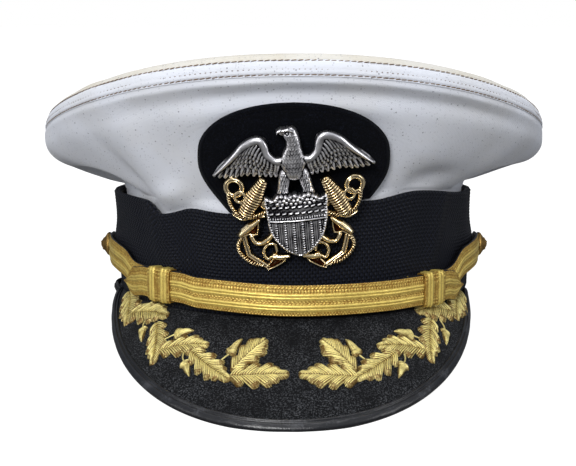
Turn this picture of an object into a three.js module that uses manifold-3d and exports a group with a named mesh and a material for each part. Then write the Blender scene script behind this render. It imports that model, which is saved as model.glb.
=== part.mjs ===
// A combination cap: a white covered crown on a black ribbed head band, a felt visor with a leather
// edge and raised gold leaves, a chin strap with two slides, two side buttons, and a cast badge on
// a black felt patch. All sizes are millimetres. The parts are made with the origin in the middle
// of the head band's lower edge: +X to the right as seen from the front, -Y to the front, +Z up.
// The whole cap is then tipped back until it rests on the visor's front rim and the band's back.

import * as THREE from 'three';
import { mergeVertices } from 'three/addons/utils/BufferGeometryUtils.js';
import Module from 'manifold-3d';

const wasm = await Module();
wasm.setup();

// Driving dimensions. The head band fits a 58 cm head, and its height is a nominal 1 3/4 in.
const GAP = 0.3;
const TIP_BACK = THREE.MathUtils.degToRad(7.3);
const SEAT_PRESS = 0.55;
const BAND = { halfWidth: 86, halfLength: 104, wall: 3, columns: 68 };
const CROWN = { wall: 2, hemBottom: 26, hemRise: 0.7, hemBend: 1.5, columns: 68 };
const RIM = {
  halfWidth: 121.8, frontReach: 136.7, backReach: 128, centreY: 15, squareness: 2.17,
  height: 70.5, slope: 8, frontRise: 16.7, backRise: -2.5, roll: 0.6,
};
const TOP = { centreHeight: 82, wall: 2 };
const VISOR = {
  halfWidth: 83, shift: -1.5, cornerY: -17.1, cornerZ: 4.46, frontY: -149.5, frontZ: -32.9,
  squareness: 2.163, dropPower: 0.788, firstTurn: -82, lastTurn: 79.5, thickness: 1.4,
  tuck: 2.5, stations: 36,
};
const BINDING = {
  width: 4.4, height: 3, skin: 0.5, slot: 1.5, firstTurn: -86.5, lastTurn: 83, stations: 40,
};
const STRAP = { width: 12.4, thickness: 1.5 };
const SLIDE = { length: 13.4, wall: 0.8, play: 0.4 };
const BUTTON = {
  turn: 83.6, height: 17.85, shankRadius: 1.5, holeRadius: 1.9, segments: 14, clearance: 0.4,
};
const BADGE = { x: -0.3, y: -113.8, z: 62, lean: 12, roll: 4.8, bendRadius: 95 };
const PATCH = { thickness: 2, middleHeight: 64, rows: 12, footStep: 6, stand: 0.7 };
const EMBROIDERY = { leafHeight: 1.8, acornHeight: 1.5 };

// The head band's upper edge: turn in degrees from the front towards +X, height of the edge, and
// how far the edge flares outward.
const BAND_EDGE = [
  { at: -180, top: 45, flare: 0 },
  { at: -110, top: 45.5, flare: 2 },
  { at: -62, top: 45.6, flare: 2.6 },
  { at: -47, top: 44.4, flare: 1.6 },
  { at: -41, top: 39, flare: 0.4 },
  { at: -29, top: 42.3, flare: 0.8 },
  { at: -19, top: 41, flare: 0.6 },
  { at: 0, top: 43, flare: 0.6 },
  { at: 21, top: 46.2, flare: 0.6 },
  { at: 36, top: 49.2, flare: 1 },
  { at: 63, top: 46.2, flare: 1 },
  { at: 110, top: 45.5, flare: 1 },
  { at: 180, top: 45, flare: 0 },
];

// The crown's side wall from the head band up to the lower stitch line, as shares of the way
// outward and upward, at the front, the sides and the back.
const CROWN_PROFILE = [
  { front: [0, 0], side: [0, 0], back: [0, 0] },
  { front: [0.18, 0.24], side: [0.34, 0.1], back: [0.34, 0.06] },
  { front: [0.46, 0.52], side: [0.72, 0.36], back: [0.74, 0.26] },
  { front: [0.8, 0.82], side: [1.02, 0.68], back: [1.03, 0.62] },
  { front: [1, 1], side: [1, 1], back: [1, 1] },
];

// Soft folds in the side wall: where each is deepest, its depth, its half width in degrees, how
// far up the wall it reaches as a share, and how many degrees it leans over that reach.
const FOLDS = [
  { at: 78, level: 0.36, depth: 2.6, spread: 9, reach: 0.2, lean: 26 },
  { at: 55, level: 0.22, depth: 1.6, spread: 7, reach: 0.22, lean: -14 },
  { at: -72, level: 0.34, depth: 2.2, spread: 9, reach: 0.2, lean: -24 },
  { at: -46, level: 0.26, depth: 1.8, spread: 7, reach: 0.26, lean: 8 },
  { at: 140, level: 0.3, depth: 2, spread: 9, reach: 0.24, lean: 12 },
  { at: -140, level: 0.3, depth: 2, spread: 9, reach: 0.24, lean: -12 },
];

// The welt round the top, as steps outward and upward from the lower stitch line.
const WELT_SECTION = [
  [0, GAP], [-0.6, 3.6], [-2.2, 6.9], [-6, 8.6], [-6, 6.6], [-2.2, GAP],
];

// The badge patch's outline: height above its widest line and half width.
const PATCH_OUTLINE = [
  { at: -19, halfWidth: 27.5 },
  { at: -12, halfWidth: 33 },
  { at: -6, halfWidth: 36.2 },
  { at: 0, halfWidth: 37.2 },
  { at: 7, halfWidth: 35.9 },
  { at: 13, halfWidth: 31 },
  { at: 18, halfWidth: 22 },
  { at: 20.6, halfWidth: 11 },
  { at: 21.3, halfWidth: 3 },
];

// The chin strap's front layer: turn round the band, height of its middle, and width.
const FRONT_STRAP = [
  { at: -56, height: 7.7, width: 1 },
  { at: -50, height: 8.9, width: STRAP.width },
  { at: -45, height: 10.2, width: STRAP.width },
  { at: -31, height: 10.2, width: STRAP.width },
  { at: -25, height: 9, width: STRAP.width },
  { at: 0, height: 7.7, width: STRAP.width },
  { at: 25, height: 7.9, width: STRAP.width },
  { at: 33, height: 8.1, width: STRAP.width },
  { at: 47, height: 8.1, width: STRAP.width },
  { at: 50, height: 7.1, width: STRAP.width },
  { at: 55.6, height: 6, width: 1 },
];

// The side straps: turn, height of the middle, distance of the middle from the band, and width.
const SIDE_STRAP = [
  { at: 32, height: 9, stand: 3, width: STRAP.width },
  { at: 44, height: 9.9, stand: 3, width: STRAP.width },
  { at: 50, height: 12.3, stand: 3, width: STRAP.width },
  { at: 57, height: 15.2, stand: 3.1, width: STRAP.width },
  { at: 67, height: 17.2, stand: 4.6, width: STRAP.width },
  { at: 76, height: 18, stand: 4.8, width: STRAP.width },
  { at: 84.6, height: 17.85, stand: 4.4, width: 11.4 },
  { at: 88.8, height: 17.7, stand: 4.2, width: 6 },
];

const SLIDES = [
  { side: 'left', turn: -37.9, height: 10.2 },
  { side: 'right', turn: 40.1, height: 8.1 },
];

// Oak leaves on the right half of the visor in plan, from stalk to tip. The left half mirrors them.
const LEAVES = [
  { base: [74, -55.6], tip: [69.8, -74.2], width: 7.4 },
  { base: [67, -75.4], tip: [52.6, -86.6], width: 11.6 },
  { base: [57, -89.8], tip: [55.3, -109.8], width: 10.2 },
  { base: [51.4, -106], tip: [33.2, -111.8], width: 12 },
  { base: [38.6, -114.8], tip: [24.4, -129.2], width: 12.2 },
  { base: [21.8, -123], tip: [10.6, -113], width: 9.8 },
  { base: [22.6, -129.2], tip: [1.8, -129.2], width: 10.8 },
];

// Acorns in plan, from cup to tip. The first shows on the left half only.
const ACORNS = [
  { base: [68.6, -69.6], tip: [62.4, -73.4], width: 3.2, leftOnly: true },
  { base: [63.8, -87], tip: [63.2, -95.6], width: 4.4 },
  { base: [48.6, -99.8], tip: [41, -101.8], width: 6 },
  { base: [43.8, -116.2], tip: [41.2, -124.2], width: 5 },
  { base: [25.6, -117.2], tip: [21, -111.6], width: 5.4 },
];

// A leaf's outline: share of its length and share of its half width, with three lobes a side.
const LEAF_ROWS = [
  { along: 0, half: 0.08 },
  { along: 0.14, half: 0.66 },
  { along: 0.26, half: 0.5 },
  { along: 0.42, half: 1 },
  { along: 0.54, half: 0.62 },
  { along: 0.7, half: 0.86 },
  { along: 0.8, half: 0.42 },
  { along: 0.92, half: 0.44 },
  { along: 1, half: 0.08 },
];

// An acorn's outline: a wide cup, then a nut that runs to a point.
const ACORN_ROWS = [
  { along: 0, half: 0.4 },
  { along: 0.12, half: 1 },
  { along: 0.36, half: 1 },
  { along: 0.4, half: 0.74 },
  { along: 0.72, half: 0.6 },
  { along: 1, half: 0.1 },
];

const COLOURS = {
  crownCover: { color: 0xdfe1e6, roughness: 0.85, metalness: 0 },
  crownPanel: { color: 0xe6dfcf, roughness: 0.85, metalness: 0 },
  bandRib: { color: 0x14161d, roughness: 0.8, metalness: 0 },
  felt: { color: 0x17181c, roughness: 0.95, metalness: 0 },
  leather: { color: 0x15161a, roughness: 0.4, metalness: 0 },
  goldLace: { color: 0xd8b04a, roughness: 0.45, metalness: 0.8 },
  goldThread: { color: 0xc8ad63, roughness: 0.5, metalness: 0.7 },
  silver: { color: 0x9a9b9f, roughness: 0.4, metalness: 0.95 },
  goldCast: { color: 0xd09a4a, roughness: 0.3, metalness: 1 },
  brass: { color: 0x8f6f33, roughness: 0.4, metalness: 0.95 },
};

const radians = THREE.MathUtils.degToRad;
const vector = (x, y, z) => new THREE.Vector3(x, y, z);

// A power that keeps the sign, for superellipses.
function signedPower(value, exponent) {
  return Math.sign(value) * Math.abs(value) ** exponent;
}

// Reads one column of a table at a position, easing smoothly between its rows.
function lookUp(rows, column, at) {
  const next = rows.findIndex((row) => row.at >= at);
  if (next === 0) return rows[0][column];
  if (next === -1) return rows[rows.length - 1][column];
  const before = rows[next - 1];
  const after = rows[next];
  const share = THREE.MathUtils.smoothstep(at, before.at, after.at);
  return THREE.MathUtils.lerp(before[column], after[column], share);
}

// Evenly spaced numbers from first to last, both included.
function spread(first, last, count) {
  return Array.from({ length: count }, (unused, i) => first + ((last - first) * i) / (count - 1));
}

function signedVolume(points, triangles) {
  let six = 0;
  for (const [a, b, c] of triangles) {
    six += points[a].dot(vector().crossVectors(points[b], points[c]));
  }
  return six / 6;
}

// A geometry of shared points, with the faces turned to point out.
function meshOf(points, triangles) {
  const outward = signedVolume(points, triangles) > 0;
  const order = outward ? triangles : triangles.map(([a, b, c]) => [a, c, b]);
  const geometry = new THREE.BufferGeometry();
  const coordinates = points.flatMap((point) => point.toArray());
  geometry.setAttribute('position', new THREE.Float32BufferAttribute(coordinates, 3));
  geometry.setIndex(order.flat());
  return geometry;
}

// Joins a row of sections, each a loop of points that runs out along one face and back along the
// other. A ring of sections closes on itself, and a row gets a cap at each end.
function loft(sections, isRing = false) {
  const size = sections[0].length;
  const points = sections.flat();
  const triangles = [];
  const spans = isRing ? sections.length : sections.length - 1;
  for (let i = 0; i < spans; i += 1) {
    const here = i * size;
    const there = ((i + 1) % sections.length) * size;
    for (let j = 0; j < size; j += 1) {
      const k = (j + 1) % size;
      triangles.push([here + j, here + k, there + k], [here + j, there + k, there + j]);
    }
  }
  if (!isRing) {
    const last = (sections.length - 1) * size;
    for (let low = 0, high = size - 1; high - low > 1; ) {
      const near = low + 1;
      triangles.push([high, near, low], [last + low, last + near, last + high]);
      low = near;
      if (high - low > 1) {
        triangles.push([high - 1, low, high], [last + high, last + low, last + high - 1]);
        high -= 1;
      }
    }
  }
  return meshOf(points, triangles);
}

function toManifold(geometry) {
  const bare = geometry.clone();
  bare.deleteAttribute('normal');
  bare.deleteAttribute('uv');
  const merged = mergeVertices(bare, 1e-3);
  return new wasm.Manifold(new wasm.Mesh({
    numProp: 3,
    vertProperties: new Float32Array(merged.attributes.position.array),
    triVerts: new Uint32Array(merged.index.array),
  }));
}

function fromManifold(solid) {
  const mesh = solid.getMesh();
  const geometry = new THREE.BufferGeometry();
  geometry.setAttribute('position', new THREE.BufferAttribute(mesh.vertProperties, 3));
  geometry.setIndex(new THREE.BufferAttribute(mesh.triVerts, 1));
  return geometry;
}

const joined = (geometries) => fromManifold(
  geometries.map(toManifold).reduce((whole, piece) => whole.add(piece)),
);

const cutBy = (geometry, tool) => fromManifold(toManifold(geometry).subtract(toManifold(tool)));

// The surface that the cap rests on, as a block to cut away what is pressed flat against it.
function groundBlock() {
  const level = SEAT_PRESS - BAND.halfLength * Math.sin(TIP_BACK);
  const size = 500;
  const block = new THREE.BoxGeometry(size, size, size);
  block.translate(0, 0, level - size / 2);
  block.rotateX(TIP_BACK);
  return block;
}

// Head band

function bandNormal(turn) {
  const angle = radians(turn);
  const across = Math.sin(angle) / BAND.halfWidth;
  const along = -Math.cos(angle) / BAND.halfLength;
  return vector(across, along, 0).normalize();
}

// A point at a distance outside the plain oval that the band's foot follows.
function besideBand(turn, height, stand) {
  const angle = radians(turn);
  const foot = vector(BAND.halfWidth * Math.sin(angle), -BAND.halfLength * Math.cos(angle), height);
  return foot.addScaledVector(bandNormal(turn), stand);
}

function bandStand(turn, height) {
  const share = height / lookUp(BAND_EDGE, 'top', turn);
  return lookUp(BAND_EDGE, 'flare', turn) * share ** 2;
}

function hatband() {
  const sections = spread(-180, 180, BAND.columns + 1).slice(1).map((turn) => {
    const top = lookUp(BAND_EDGE, 'top', turn);
    const wall = (height, depth) => besideBand(turn, height, bandStand(turn, height) - depth);
    return [
      wall(0, 0), wall(top * 0.5, 0), wall(top * 0.8, 0), wall(top, 0),
      wall(top, BAND.wall), wall(0, BAND.wall),
    ];
  });
  return cutBy(loft(sections, true), groundBlock());
}

// Crown

// The lower stitch line round the crown's widest edge.
function rimPoint(turn) {
  const angle = radians(turn);
  const ahead = signedPower(Math.cos(angle), 2 / RIM.squareness);
  const reach = ahead > 0 ? RIM.frontReach : RIM.backReach;
  const rise = ahead > 0 ? RIM.frontRise : RIM.backRise;
  return vector(
    RIM.halfWidth * signedPower(Math.sin(angle), 2 / RIM.squareness),
    RIM.centreY - reach * ahead,
    RIM.height + RIM.slope * ahead + rise * ahead ** 2 + RIM.roll * Math.sin(angle),
  );
}

function rimNormal(turn) {
  const along = rimPoint(turn + 1).sub(rimPoint(turn - 1));
  return vector(-along.y, along.x, 0).normalize().negate();
}

// The plain side wall, before its folds: share is 0 at the band and 1 at the lower stitch line.
function plainCrownPoint(turn, share) {
  const ahead = signedPower(Math.cos(radians(turn)), 2 / RIM.squareness);
  const frontWeight = Math.max(ahead, 0) ** 1.5;
  const backWeight = Math.max(-ahead, 0) ** 1.2;
  const sideWeight = 1 - frontWeight - backWeight;
  const knots = CROWN_PROFILE.map(({ front, side, back }) => new THREE.Vector2(
    front[0] * frontWeight + side[0] * sideWeight + back[0] * backWeight,
    front[1] * frontWeight + side[1] * sideWeight + back[1] * backWeight,
  ));
  const way = new THREE.SplineCurve(knots).getPoint(share);
  const rim = rimPoint(turn);
  const height = lookUp(BAND_EDGE, 'top', turn) + CROWN.hemRise;
  const foot = besideBand(turn, height, -BAND.wall - GAP);
  return vector(
    THREE.MathUtils.lerp(foot.x, rim.x, way.x),
    THREE.MathUtils.lerp(foot.y, rim.y, way.x),
    THREE.MathUtils.lerp(foot.z, rim.z, way.y),
  );
}

function crownNormal(turn, share) {
  const up = plainCrownPoint(turn, Math.min(share + 0.01, 1));
  up.sub(plainCrownPoint(turn, Math.max(share - 0.01, 0)));
  const round = plainCrownPoint(turn + 1, share).sub(plainCrownPoint(turn - 1, share));
  return round.cross(up).normalize();
}

function foldDepth(turn, share) {
  let depth = 0;
  for (const fold of FOLDS) {
    const rise = (share - fold.level) / fold.reach;
    const off = (turn - fold.at - fold.lean * (share - fold.level)) / fold.spread;
    depth += fold.depth * Math.exp(-(off ** 2) - rise ** 2);
  }
  return depth;
}

function crownPoint(turn, share, inward = 0) {
  const depth = foldDepth(turn, share) + inward;
  return plainCrownPoint(turn, share).addScaledVector(crownNormal(turn, share), -depth);
}

function crownSide() {
  const outside = [0, 0.1, 0.22, 0.36, 0.5, 0.66, 0.82, 1];
  const inside = [0.8, 0.5, 0.3, 0.12];
  const sections = spread(-180, 180, CROWN.columns + 1).slice(1).map((turn) => {
    const hem = (height, depth) => besideBand(turn, height, -BAND.wall - GAP - depth);
    const bend = lookUp(BAND_EDGE, 'top', turn) + CROWN.hemBend;
    return [
      hem(CROWN.hemBottom, 0),
      ...outside.map((share) => crownPoint(turn, share)),
      weltPoint(turn, [-CROWN.wall, 0]),
      ...inside.map((share) => crownPoint(turn, share, CROWN.wall)),
      hem(bend, CROWN.wall),
      hem(CROWN.hemBottom, CROWN.wall),
    ];
  });
  return loft(sections, true);
}

function weltPoint(turn, [outward, upward]) {
  const point = rimPoint(turn).addScaledVector(rimNormal(turn), outward);
  point.z += upward;
  return point;
}

function crownWelt() {
  const turns = spread(-180, 180, CROWN.columns + 1).slice(1);
  return loft(turns.map((turn) => WELT_SECTION.map((step) => weltPoint(turn, step))), true);
}

// The top panel is a taut sheet that keeps the rim's tilt and sinks a little to its middle.
function crownTopPoint(turn, share, depth) {
  const edgeStep = [WELT_SECTION[3][0] - GAP, WELT_SECTION[3][1]];
  const edge = weltPoint(turn, edgeStep);
  const opposite = weltPoint(180 - turn, edgeStep);
  const tilt = (edge.z - opposite.z) / 2;
  const level = (edge.z + opposite.z) / 2;
  return vector(
    edge.x * share,
    THREE.MathUtils.lerp(RIM.centreY, edge.y, share),
    TOP.centreHeight + tilt * share + (level - TOP.centreHeight) * share ** 2 - depth,
  );
}

function crownTop() {
  const shares = [0.45, 0.8, 1];
  const turns = spread(-180, 180, CROWN.columns + 1).slice(1);
  const points = [crownTopPoint(0, 0, 0), crownTopPoint(0, 0, TOP.wall)];
  const rings = [
    ...shares.map((share) => [share, 0]),
    ...shares.toReversed().map((share) => [share, TOP.wall]),
  ];
  for (const [share, depth] of rings) {
    points.push(...turns.map((turn) => crownTopPoint(turn, share, depth)));
  }
  const triangles = [];
  const count = turns.length;
  const lastRing = (rings.length - 1) * count;
  for (let j = 0; j < count; j += 1) {
    const k = (j + 1) % count;
    triangles.push([0, 2 + k, 2 + j], [1, 2 + lastRing + j, 2 + lastRing + k]);
    for (let i = 0; i < rings.length - 1; i += 1) {
      const here = 2 + i * count;
      const there = here + count;
      triangles.push([here + j, here + k, there + k], [here + j, there + k, there + j]);
    }
  }
  return meshOf(points, triangles);
}

// The felt patch stands on the band's upper edge and follows the crown's front. Its points are
// found on the plain side wall by closing in on their place across and their height.
function crownFrontY(x, z) {
  const passes = 12;
  const turnPerMm = 0.7;
  const wallHeight = 60;
  let turn = turnPerMm * x;
  let share = 0.5;
  for (let pass = 0; pass < passes; pass += 1) {
    const here = plainCrownPoint(turn, share);
    turn += (x - here.x) * turnPerMm;
    share = THREE.MathUtils.clamp(share + (z - here.z) / wallHeight, 0, 1);
  }
  return plainCrownPoint(turn, share).y;
}

// The patch is stiff, so it spans the wall's hollow just above the band.
function patchPoint(across, height, depth) {
  const reach = 4;
  const easing = 2;
  const above = crownFrontY(across, height + reach) + easing;
  const rest = Math.min(crownFrontY(across, height), above);
  return vector(across, rest - PATCH.stand - PATCH.thickness + depth, height);
}

function badgePatch() {
  const first = PATCH_OUTLINE[0].at;
  const last = PATCH_OUTLINE[PATCH_OUTLINE.length - 1].at;
  const shares = [-1, -0.6, -0.2, 0.2, 0.6, 1];
  const sections = spread(0, 1, PATCH.rows).map((share) => {
    const level = first + (last - first) * Math.sin((share * Math.PI) / 2);
    const halfWidth = lookUp(PATCH_OUTLINE, 'halfWidth', level);
    const place = (side, depth) => {
      const across = side * halfWidth;
      const turn = THREE.MathUtils.radToDeg(Math.asin(across / BAND.halfWidth));
      const bandTop = lookUp(BAND_EDGE, 'top', turn) + GAP;
      const height = Math.max(PATCH.middleHeight + level, bandTop + share * PATCH.footStep);
      return patchPoint(across, height, depth);
    };
    return [
      ...shares.map((side) => place(side, 0)),
      ...shares.toReversed().map((side) => place(side, PATCH.thickness)),
    ];
  });
  return loft(sections);
}

// Visor

// The binding's lowest outer edge, which is the visor's outline.
function visorOutline(turn) {
  const angle = radians(turn);
  const ahead = signedPower(Math.cos(angle), 2 / VISOR.squareness);
  return vector(
    VISOR.shift + VISOR.halfWidth * signedPower(Math.sin(angle), 2 / VISOR.squareness),
    VISOR.cornerY + (VISOR.frontY - VISOR.cornerY) * ahead,
    VISOR.cornerZ + (VISOR.frontZ - VISOR.cornerZ) * ahead ** VISOR.dropPower,
  );
}

// The turn of the band's nearest point to a place on the outline.
function visorRootTurn(edge) {
  const { halfWidth, halfLength } = BAND;
  let root = 0;
  for (let pass = 0; pass < 8; pass += 1) {
    const shift = (halfLength ** 2 - halfWidth ** 2) * Math.cos(root);
    root = Math.atan2(halfWidth * edge.x, -halfLength * edge.y - shift);
  }
  return THREE.MathUtils.radToDeg(root);
}

// The felt's face lies this far above the underside of its edge binding.
const FELT_FACE = BINDING.skin + GAP + VISOR.thickness;

// The visor's frame at a turn: its outline, its root under the band, and its directions down the
// slope and out of the face.
function visorFrame(turn) {
  const edge = visorOutline(turn);
  const along = visorOutline(turn + 0.5).sub(visorOutline(turn - 0.5)).normalize();
  const rootTurn = visorRootTurn(edge);
  const root = besideBand(rootTurn, -GAP, GAP);
  const normal = vector();
  const foot = root.clone();
  for (let pass = 0; pass < 3; pass += 1) {
    normal.crossVectors(along, edge.clone().sub(foot)).normalize();
    if (normal.dot(bandNormal(rootTurn)) < 0) normal.negate();
    foot.copy(root).addScaledVector(normal, -FELT_FACE);
  }
  const down = vector().crossVectors(along, normal).normalize();
  if (down.dot(edge.clone().sub(foot)) < 0) down.negate();
  return { edge, root, rootTurn, normal, down };
}

// A step from the outline: outward across the edge, and up from the visor's surface.
function besideOutline(turn, outward, upward) {
  const { edge, down, normal } = visorFrame(turn);
  return edge.addScaledVector(down, outward).addScaledVector(normal, upward);
}

// The felt's surface from the band's foot, share 0, to its edge in the binding, share 1.
function visorPoint(turn, share, depth = 0) {
  const { root, normal } = visorFrame(turn);
  const edge = besideOutline(turn, -BINDING.slot - GAP, FELT_FACE - depth);
  return root.addScaledVector(normal, -depth).lerp(edge, share);
}

function visorNormal(turn, share) {
  const out = visorPoint(turn, share + 0.02).sub(visorPoint(turn, share - 0.02));
  const round = visorPoint(turn + 0.5, share).sub(visorPoint(turn - 0.5, share));
  const normal = round.cross(out).normalize();
  return normal.z < 0 ? normal.negate() : normal;
}

function visor() {
  const sections = spread(VISOR.firstTurn, VISOR.lastTurn, VISOR.stations).map((turn) => {
    const { root, rootTurn, normal } = visorFrame(turn);
    const tuck = bandNormal(rootTurn).multiplyScalar(-VISOR.tuck);
    const under = root.clone().addScaledVector(normal, -VISOR.thickness).add(tuck);
    under.z = -GAP - VISOR.thickness;
    const face = [0, 0.5, 1];
    return [
      root.clone().add(tuck),
      ...face.map((share) => visorPoint(turn, share)),
      ...face.toReversed().map((share) => visorPoint(turn, share, VISOR.thickness)),
      under,
    ];
  });
  return loft(sections);
}

// The room that the band takes with the gap round it, as a block to cut away from the binding.
function bandRoom() {
  const turns = spread(-180, 180, BAND.columns + 1).slice(1);
  const sections = [-GAP, BAND_EDGE[0].top].map(
    (height) => turns.map((turn) => besideBand(turn, height, GAP)),
  );
  return loft(sections);
}

function visorBinding() {
  const { width, height, skin, slot, firstTurn, lastTurn, stations } = BINDING;
  const lip = height - skin;
  const steps = [
    [-width, lip], [-width, height], [-1, height], [0, height * 0.65], [0, 0.8],
    [-0.9, 0], [-width, 0], [-width, skin], [-slot, skin], [-slot, lip],
  ];
  const sections = spread(firstTurn, lastTurn, stations).map(
    (turn) => steps.map(([outward, upward]) => besideOutline(turn, outward, upward)),
  );
  return cutBy(cutBy(loft(sections), groundBlock()), bandRoom());
}

// Chin strap, slides and buttons

function strapSection(turn, height, width, stand) {
  const half = STRAP.thickness / 2;
  return [
    besideBand(turn, height - width / 2, stand - half),
    besideBand(turn, height - width / 2, stand + half),
    besideBand(turn, height + width / 2, stand + half),
    besideBand(turn, height + width / 2, stand - half),
  ];
}

const FRONT_STAND = SIDE_STRAP[0].stand + STRAP.thickness + GAP;

function frontStrap() {
  const first = FRONT_STRAP[0].at;
  const last = FRONT_STRAP[FRONT_STRAP.length - 1].at;
  const turns = [first, -50, ...spread(-46, 46, 24), 50, last];
  return loft(turns.map((turn) => strapSection(
    turn,
    lookUp(FRONT_STRAP, 'height', turn),
    lookUp(FRONT_STRAP, 'width', turn),
    FRONT_STAND,
  )));
}

// A button's or hole's turned shape, with its axis pointing out of the band's side.
function turned(profile, side) {
  const shape = new THREE.LatheGeometry(profile, BUTTON.segments);
  const turn = side * BUTTON.turn;
  const aim = new THREE.Quaternion().setFromUnitVectors(vector(0, 1, 0), bandNormal(turn));
  shape.applyQuaternion(aim);
  const seat = besideBand(turn, BUTTON.height, 0);
  return shape.translate(seat.x, seat.y, seat.z);
}

function sideStrap(side) {
  const first = SIDE_STRAP[0].at;
  const last = SIDE_STRAP[SIDE_STRAP.length - 1].at;
  const slide = SLIDES.find((row) => Math.sign(row.turn) === side);
  const sections = spread(first, last, 18).map((turn) => {
    const free = THREE.MathUtils.smoothstep(turn, 47, 60);
    const height = THREE.MathUtils.lerp(slide.height, lookUp(SIDE_STRAP, 'height', turn), free);
    const width = lookUp(SIDE_STRAP, 'width', turn);
    return strapSection(side * turn, height, width, lookUp(SIDE_STRAP, 'stand', turn));
  });
  const reach = 12;
  const hole = turned([
    new THREE.Vector2(0, 1), new THREE.Vector2(BUTTON.holeRadius, 1),
    new THREE.Vector2(BUTTON.holeRadius, reach), new THREE.Vector2(0, reach),
  ], side);
  return cutBy(loft(sections), hole);
}

function button(side) {
  const turn = side * BUTTON.turn;
  const shankEnd = bandStand(turn, BUTTON.height) + BUTTON.clearance;
  const strapFace = lookUp(SIDE_STRAP, 'stand', BUTTON.turn) + STRAP.thickness / 2;
  const base = strapFace + BUTTON.clearance;
  const dome = [[5, 0], [5.9, 0.4], [5.9, 1], [4.6, 2], [2.8, 3.3], [1, 4.2], [0, 4.4]];
  return turned([
    new THREE.Vector2(0, shankEnd),
    new THREE.Vector2(BUTTON.shankRadius, shankEnd),
    new THREE.Vector2(BUTTON.shankRadius, base),
    ...dome.map(([radius, rise]) => new THREE.Vector2(radius, base + rise)),
  ], side);
}

// A flat metal-thread loop round both strap layers, as a ring of wall sections.
function slideLoop({ turn, height }) {
  const inner = SIDE_STRAP[0].stand - STRAP.thickness / 2 - SLIDE.play;
  const outer = FRONT_STAND + STRAP.thickness / 2 + SLIDE.play;
  const centre = (inner + outer) / 2;
  const halfHeight = STRAP.width / 2 + SLIDE.play;
  const middle = besideBand(turn, height, 0);
  const beside = besideBand(turn + 1, height, 0);
  const halfTurn = SLIDE.length / 2 / middle.distanceTo(beside);
  const ring = [
    { level: -1, stand: inner, grow: -1 },
    { level: 0, stand: inner, grow: -1 },
    { level: 1, stand: inner, grow: -1 },
    { level: 1, stand: centre, grow: 0 },
    { level: 1, stand: outer, grow: 1 },
    { level: 0, stand: outer, grow: 1 },
    { level: -1, stand: outer, grow: 1 },
    { level: -1, stand: centre, grow: 0 },
  ];
  const sections = ring.map(({ level, stand, grow }) => {
    const place = (offset, wall) => besideBand(
      turn + offset,
      height + level * (halfHeight + wall),
      stand + grow * wall,
    );
    return [
      place(-halfTurn, 0), place(0, 0), place(halfTurn, 0),
      place(halfTurn, SLIDE.wall), place(0, SLIDE.wall), place(-halfTurn, SLIDE.wall),
    ];
  });
  return loft(sections, true);
}

// Badge. Its pieces are drawn flat, x across and y up, with z out of the cap. They are then bent
// round the front, rolled a little as worn, and leaned on to the patch and the band.

function placeBadge(geometry) {
  geometry.rotateZ(radians(BADGE.roll));
  const position = geometry.attributes.position;
  const frame = new THREE.Matrix4().makeRotationX(Math.PI / 2 + radians(BADGE.lean));
  for (let i = 0; i < position.count; i += 1) {
    const point = new THREE.Vector3().fromBufferAttribute(position, i);
    point.z -= point.x ** 2 / (2 * BADGE.bendRadius);
    point.applyMatrix4(frame).add(vector(BADGE.x, BADGE.y, BADGE.z));
    position.setXYZ(i, ...point.toArray());
  }
  geometry.deleteAttribute('normal');
  return geometry;
}

// A plate with the given outline, its back at one depth and its face at another.
function plate(outline, back, face, holes = []) {
  const shape = new THREE.Shape(outline.map(([x, y]) => new THREE.Vector2(x, y)));
  shape.holes = holes;
  const options = { depth: face - back, bevelEnabled: false, curveSegments: 5 };
  return new THREE.ExtrudeGeometry(shape, options).translate(0, 0, back);
}

function ellipsoid(x, y, z, halfWidth, halfHeight, halfDepth, tilt = 0) {
  const ball = new THREE.SphereGeometry(1, 10, 6);
  ball.scale(halfWidth, halfHeight, halfDepth);
  ball.rotateZ(radians(tilt));
  return ball.translate(x, y, z);
}

const mirrored = (outline) => outline.map(([x, y]) => [-x, y]).toReversed();

// One spread wing from the shoulder over its top to the tip and back along the feather ends.
const WING = [
  [3, 2.6], [6.6, 3.4], [8.4, 6.2], [8.8, 9.4], [10.4, 11.4], [13.4, 11.7], [17.6, 10.6],
  [22.8, 6.4], [31.4, -1.9], [28.6, -3], [25.8, -2.8], [25, -3.9], [21.8, -3.3], [21, -4.3],
  [17.8, -3.4], [17, -4.2], [13.8, -3.6], [10.4, -4.3], [7, -4.2], [3, -3.4],
];

const SHIELD = [
  [-12.3, -14.3], [-6, -15], [0, -14], [6, -15], [12.3, -14.3], [11.6, -20], [11.2, -26],
  [8.6, -32], [4.4, -37], [0, -39.8], [-4.4, -37], [-8.6, -32], [-11.2, -26], [-11.6, -20],
];

function badgeEagle() {
  const parts = [
    plate(WING, 0.7, 2.9),
    plate(mirrored(WING), 0.7, 2.9),
    ellipsoid(0, -0.6, 3, 4.8, 6.6, 3.2),
    ellipsoid(0.4, 7, 3, 2.9, 5.2, 2.5, 6),
    ellipsoid(-0.6, 12, 3.2, 2.6, 2.5, 2.1),
    plate([[-1, 14], [-4.4, 14.1], [-6.2, 12.2], [-5.6, 11.2], [-3.6, 11.8], [-1, 10.4]], 2.2, 4.2),
    plate([[-4.9, -3], [-1, -4.6], [-1.6, -9], [-3, -16], [-7, -16], [-6.2, -10]], 1.6, 4.6),
    plate([[4.9, -3], [6.2, -10], [7, -16], [3, -16], [1.6, -9], [1, -4.6]], 1.6, 4.6),
    plate(SHIELD, 3.7, 6),
    plate([[-11.4, -22.6], [11.4, -22.6], [11.2, -24], [-11.2, -24]], 3.7, 6.5),
  ];
  return placeBadge(joined(parts));
}

// One fouled anchor. It is drawn upright with its ring at the top and the arms at the foot.
const ANCHOR = { shank: 50, shankHalf: 1.4, ring: 4.1, ringWire: 1.1, stock: 9.4, barrel: 2.9 };

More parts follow.
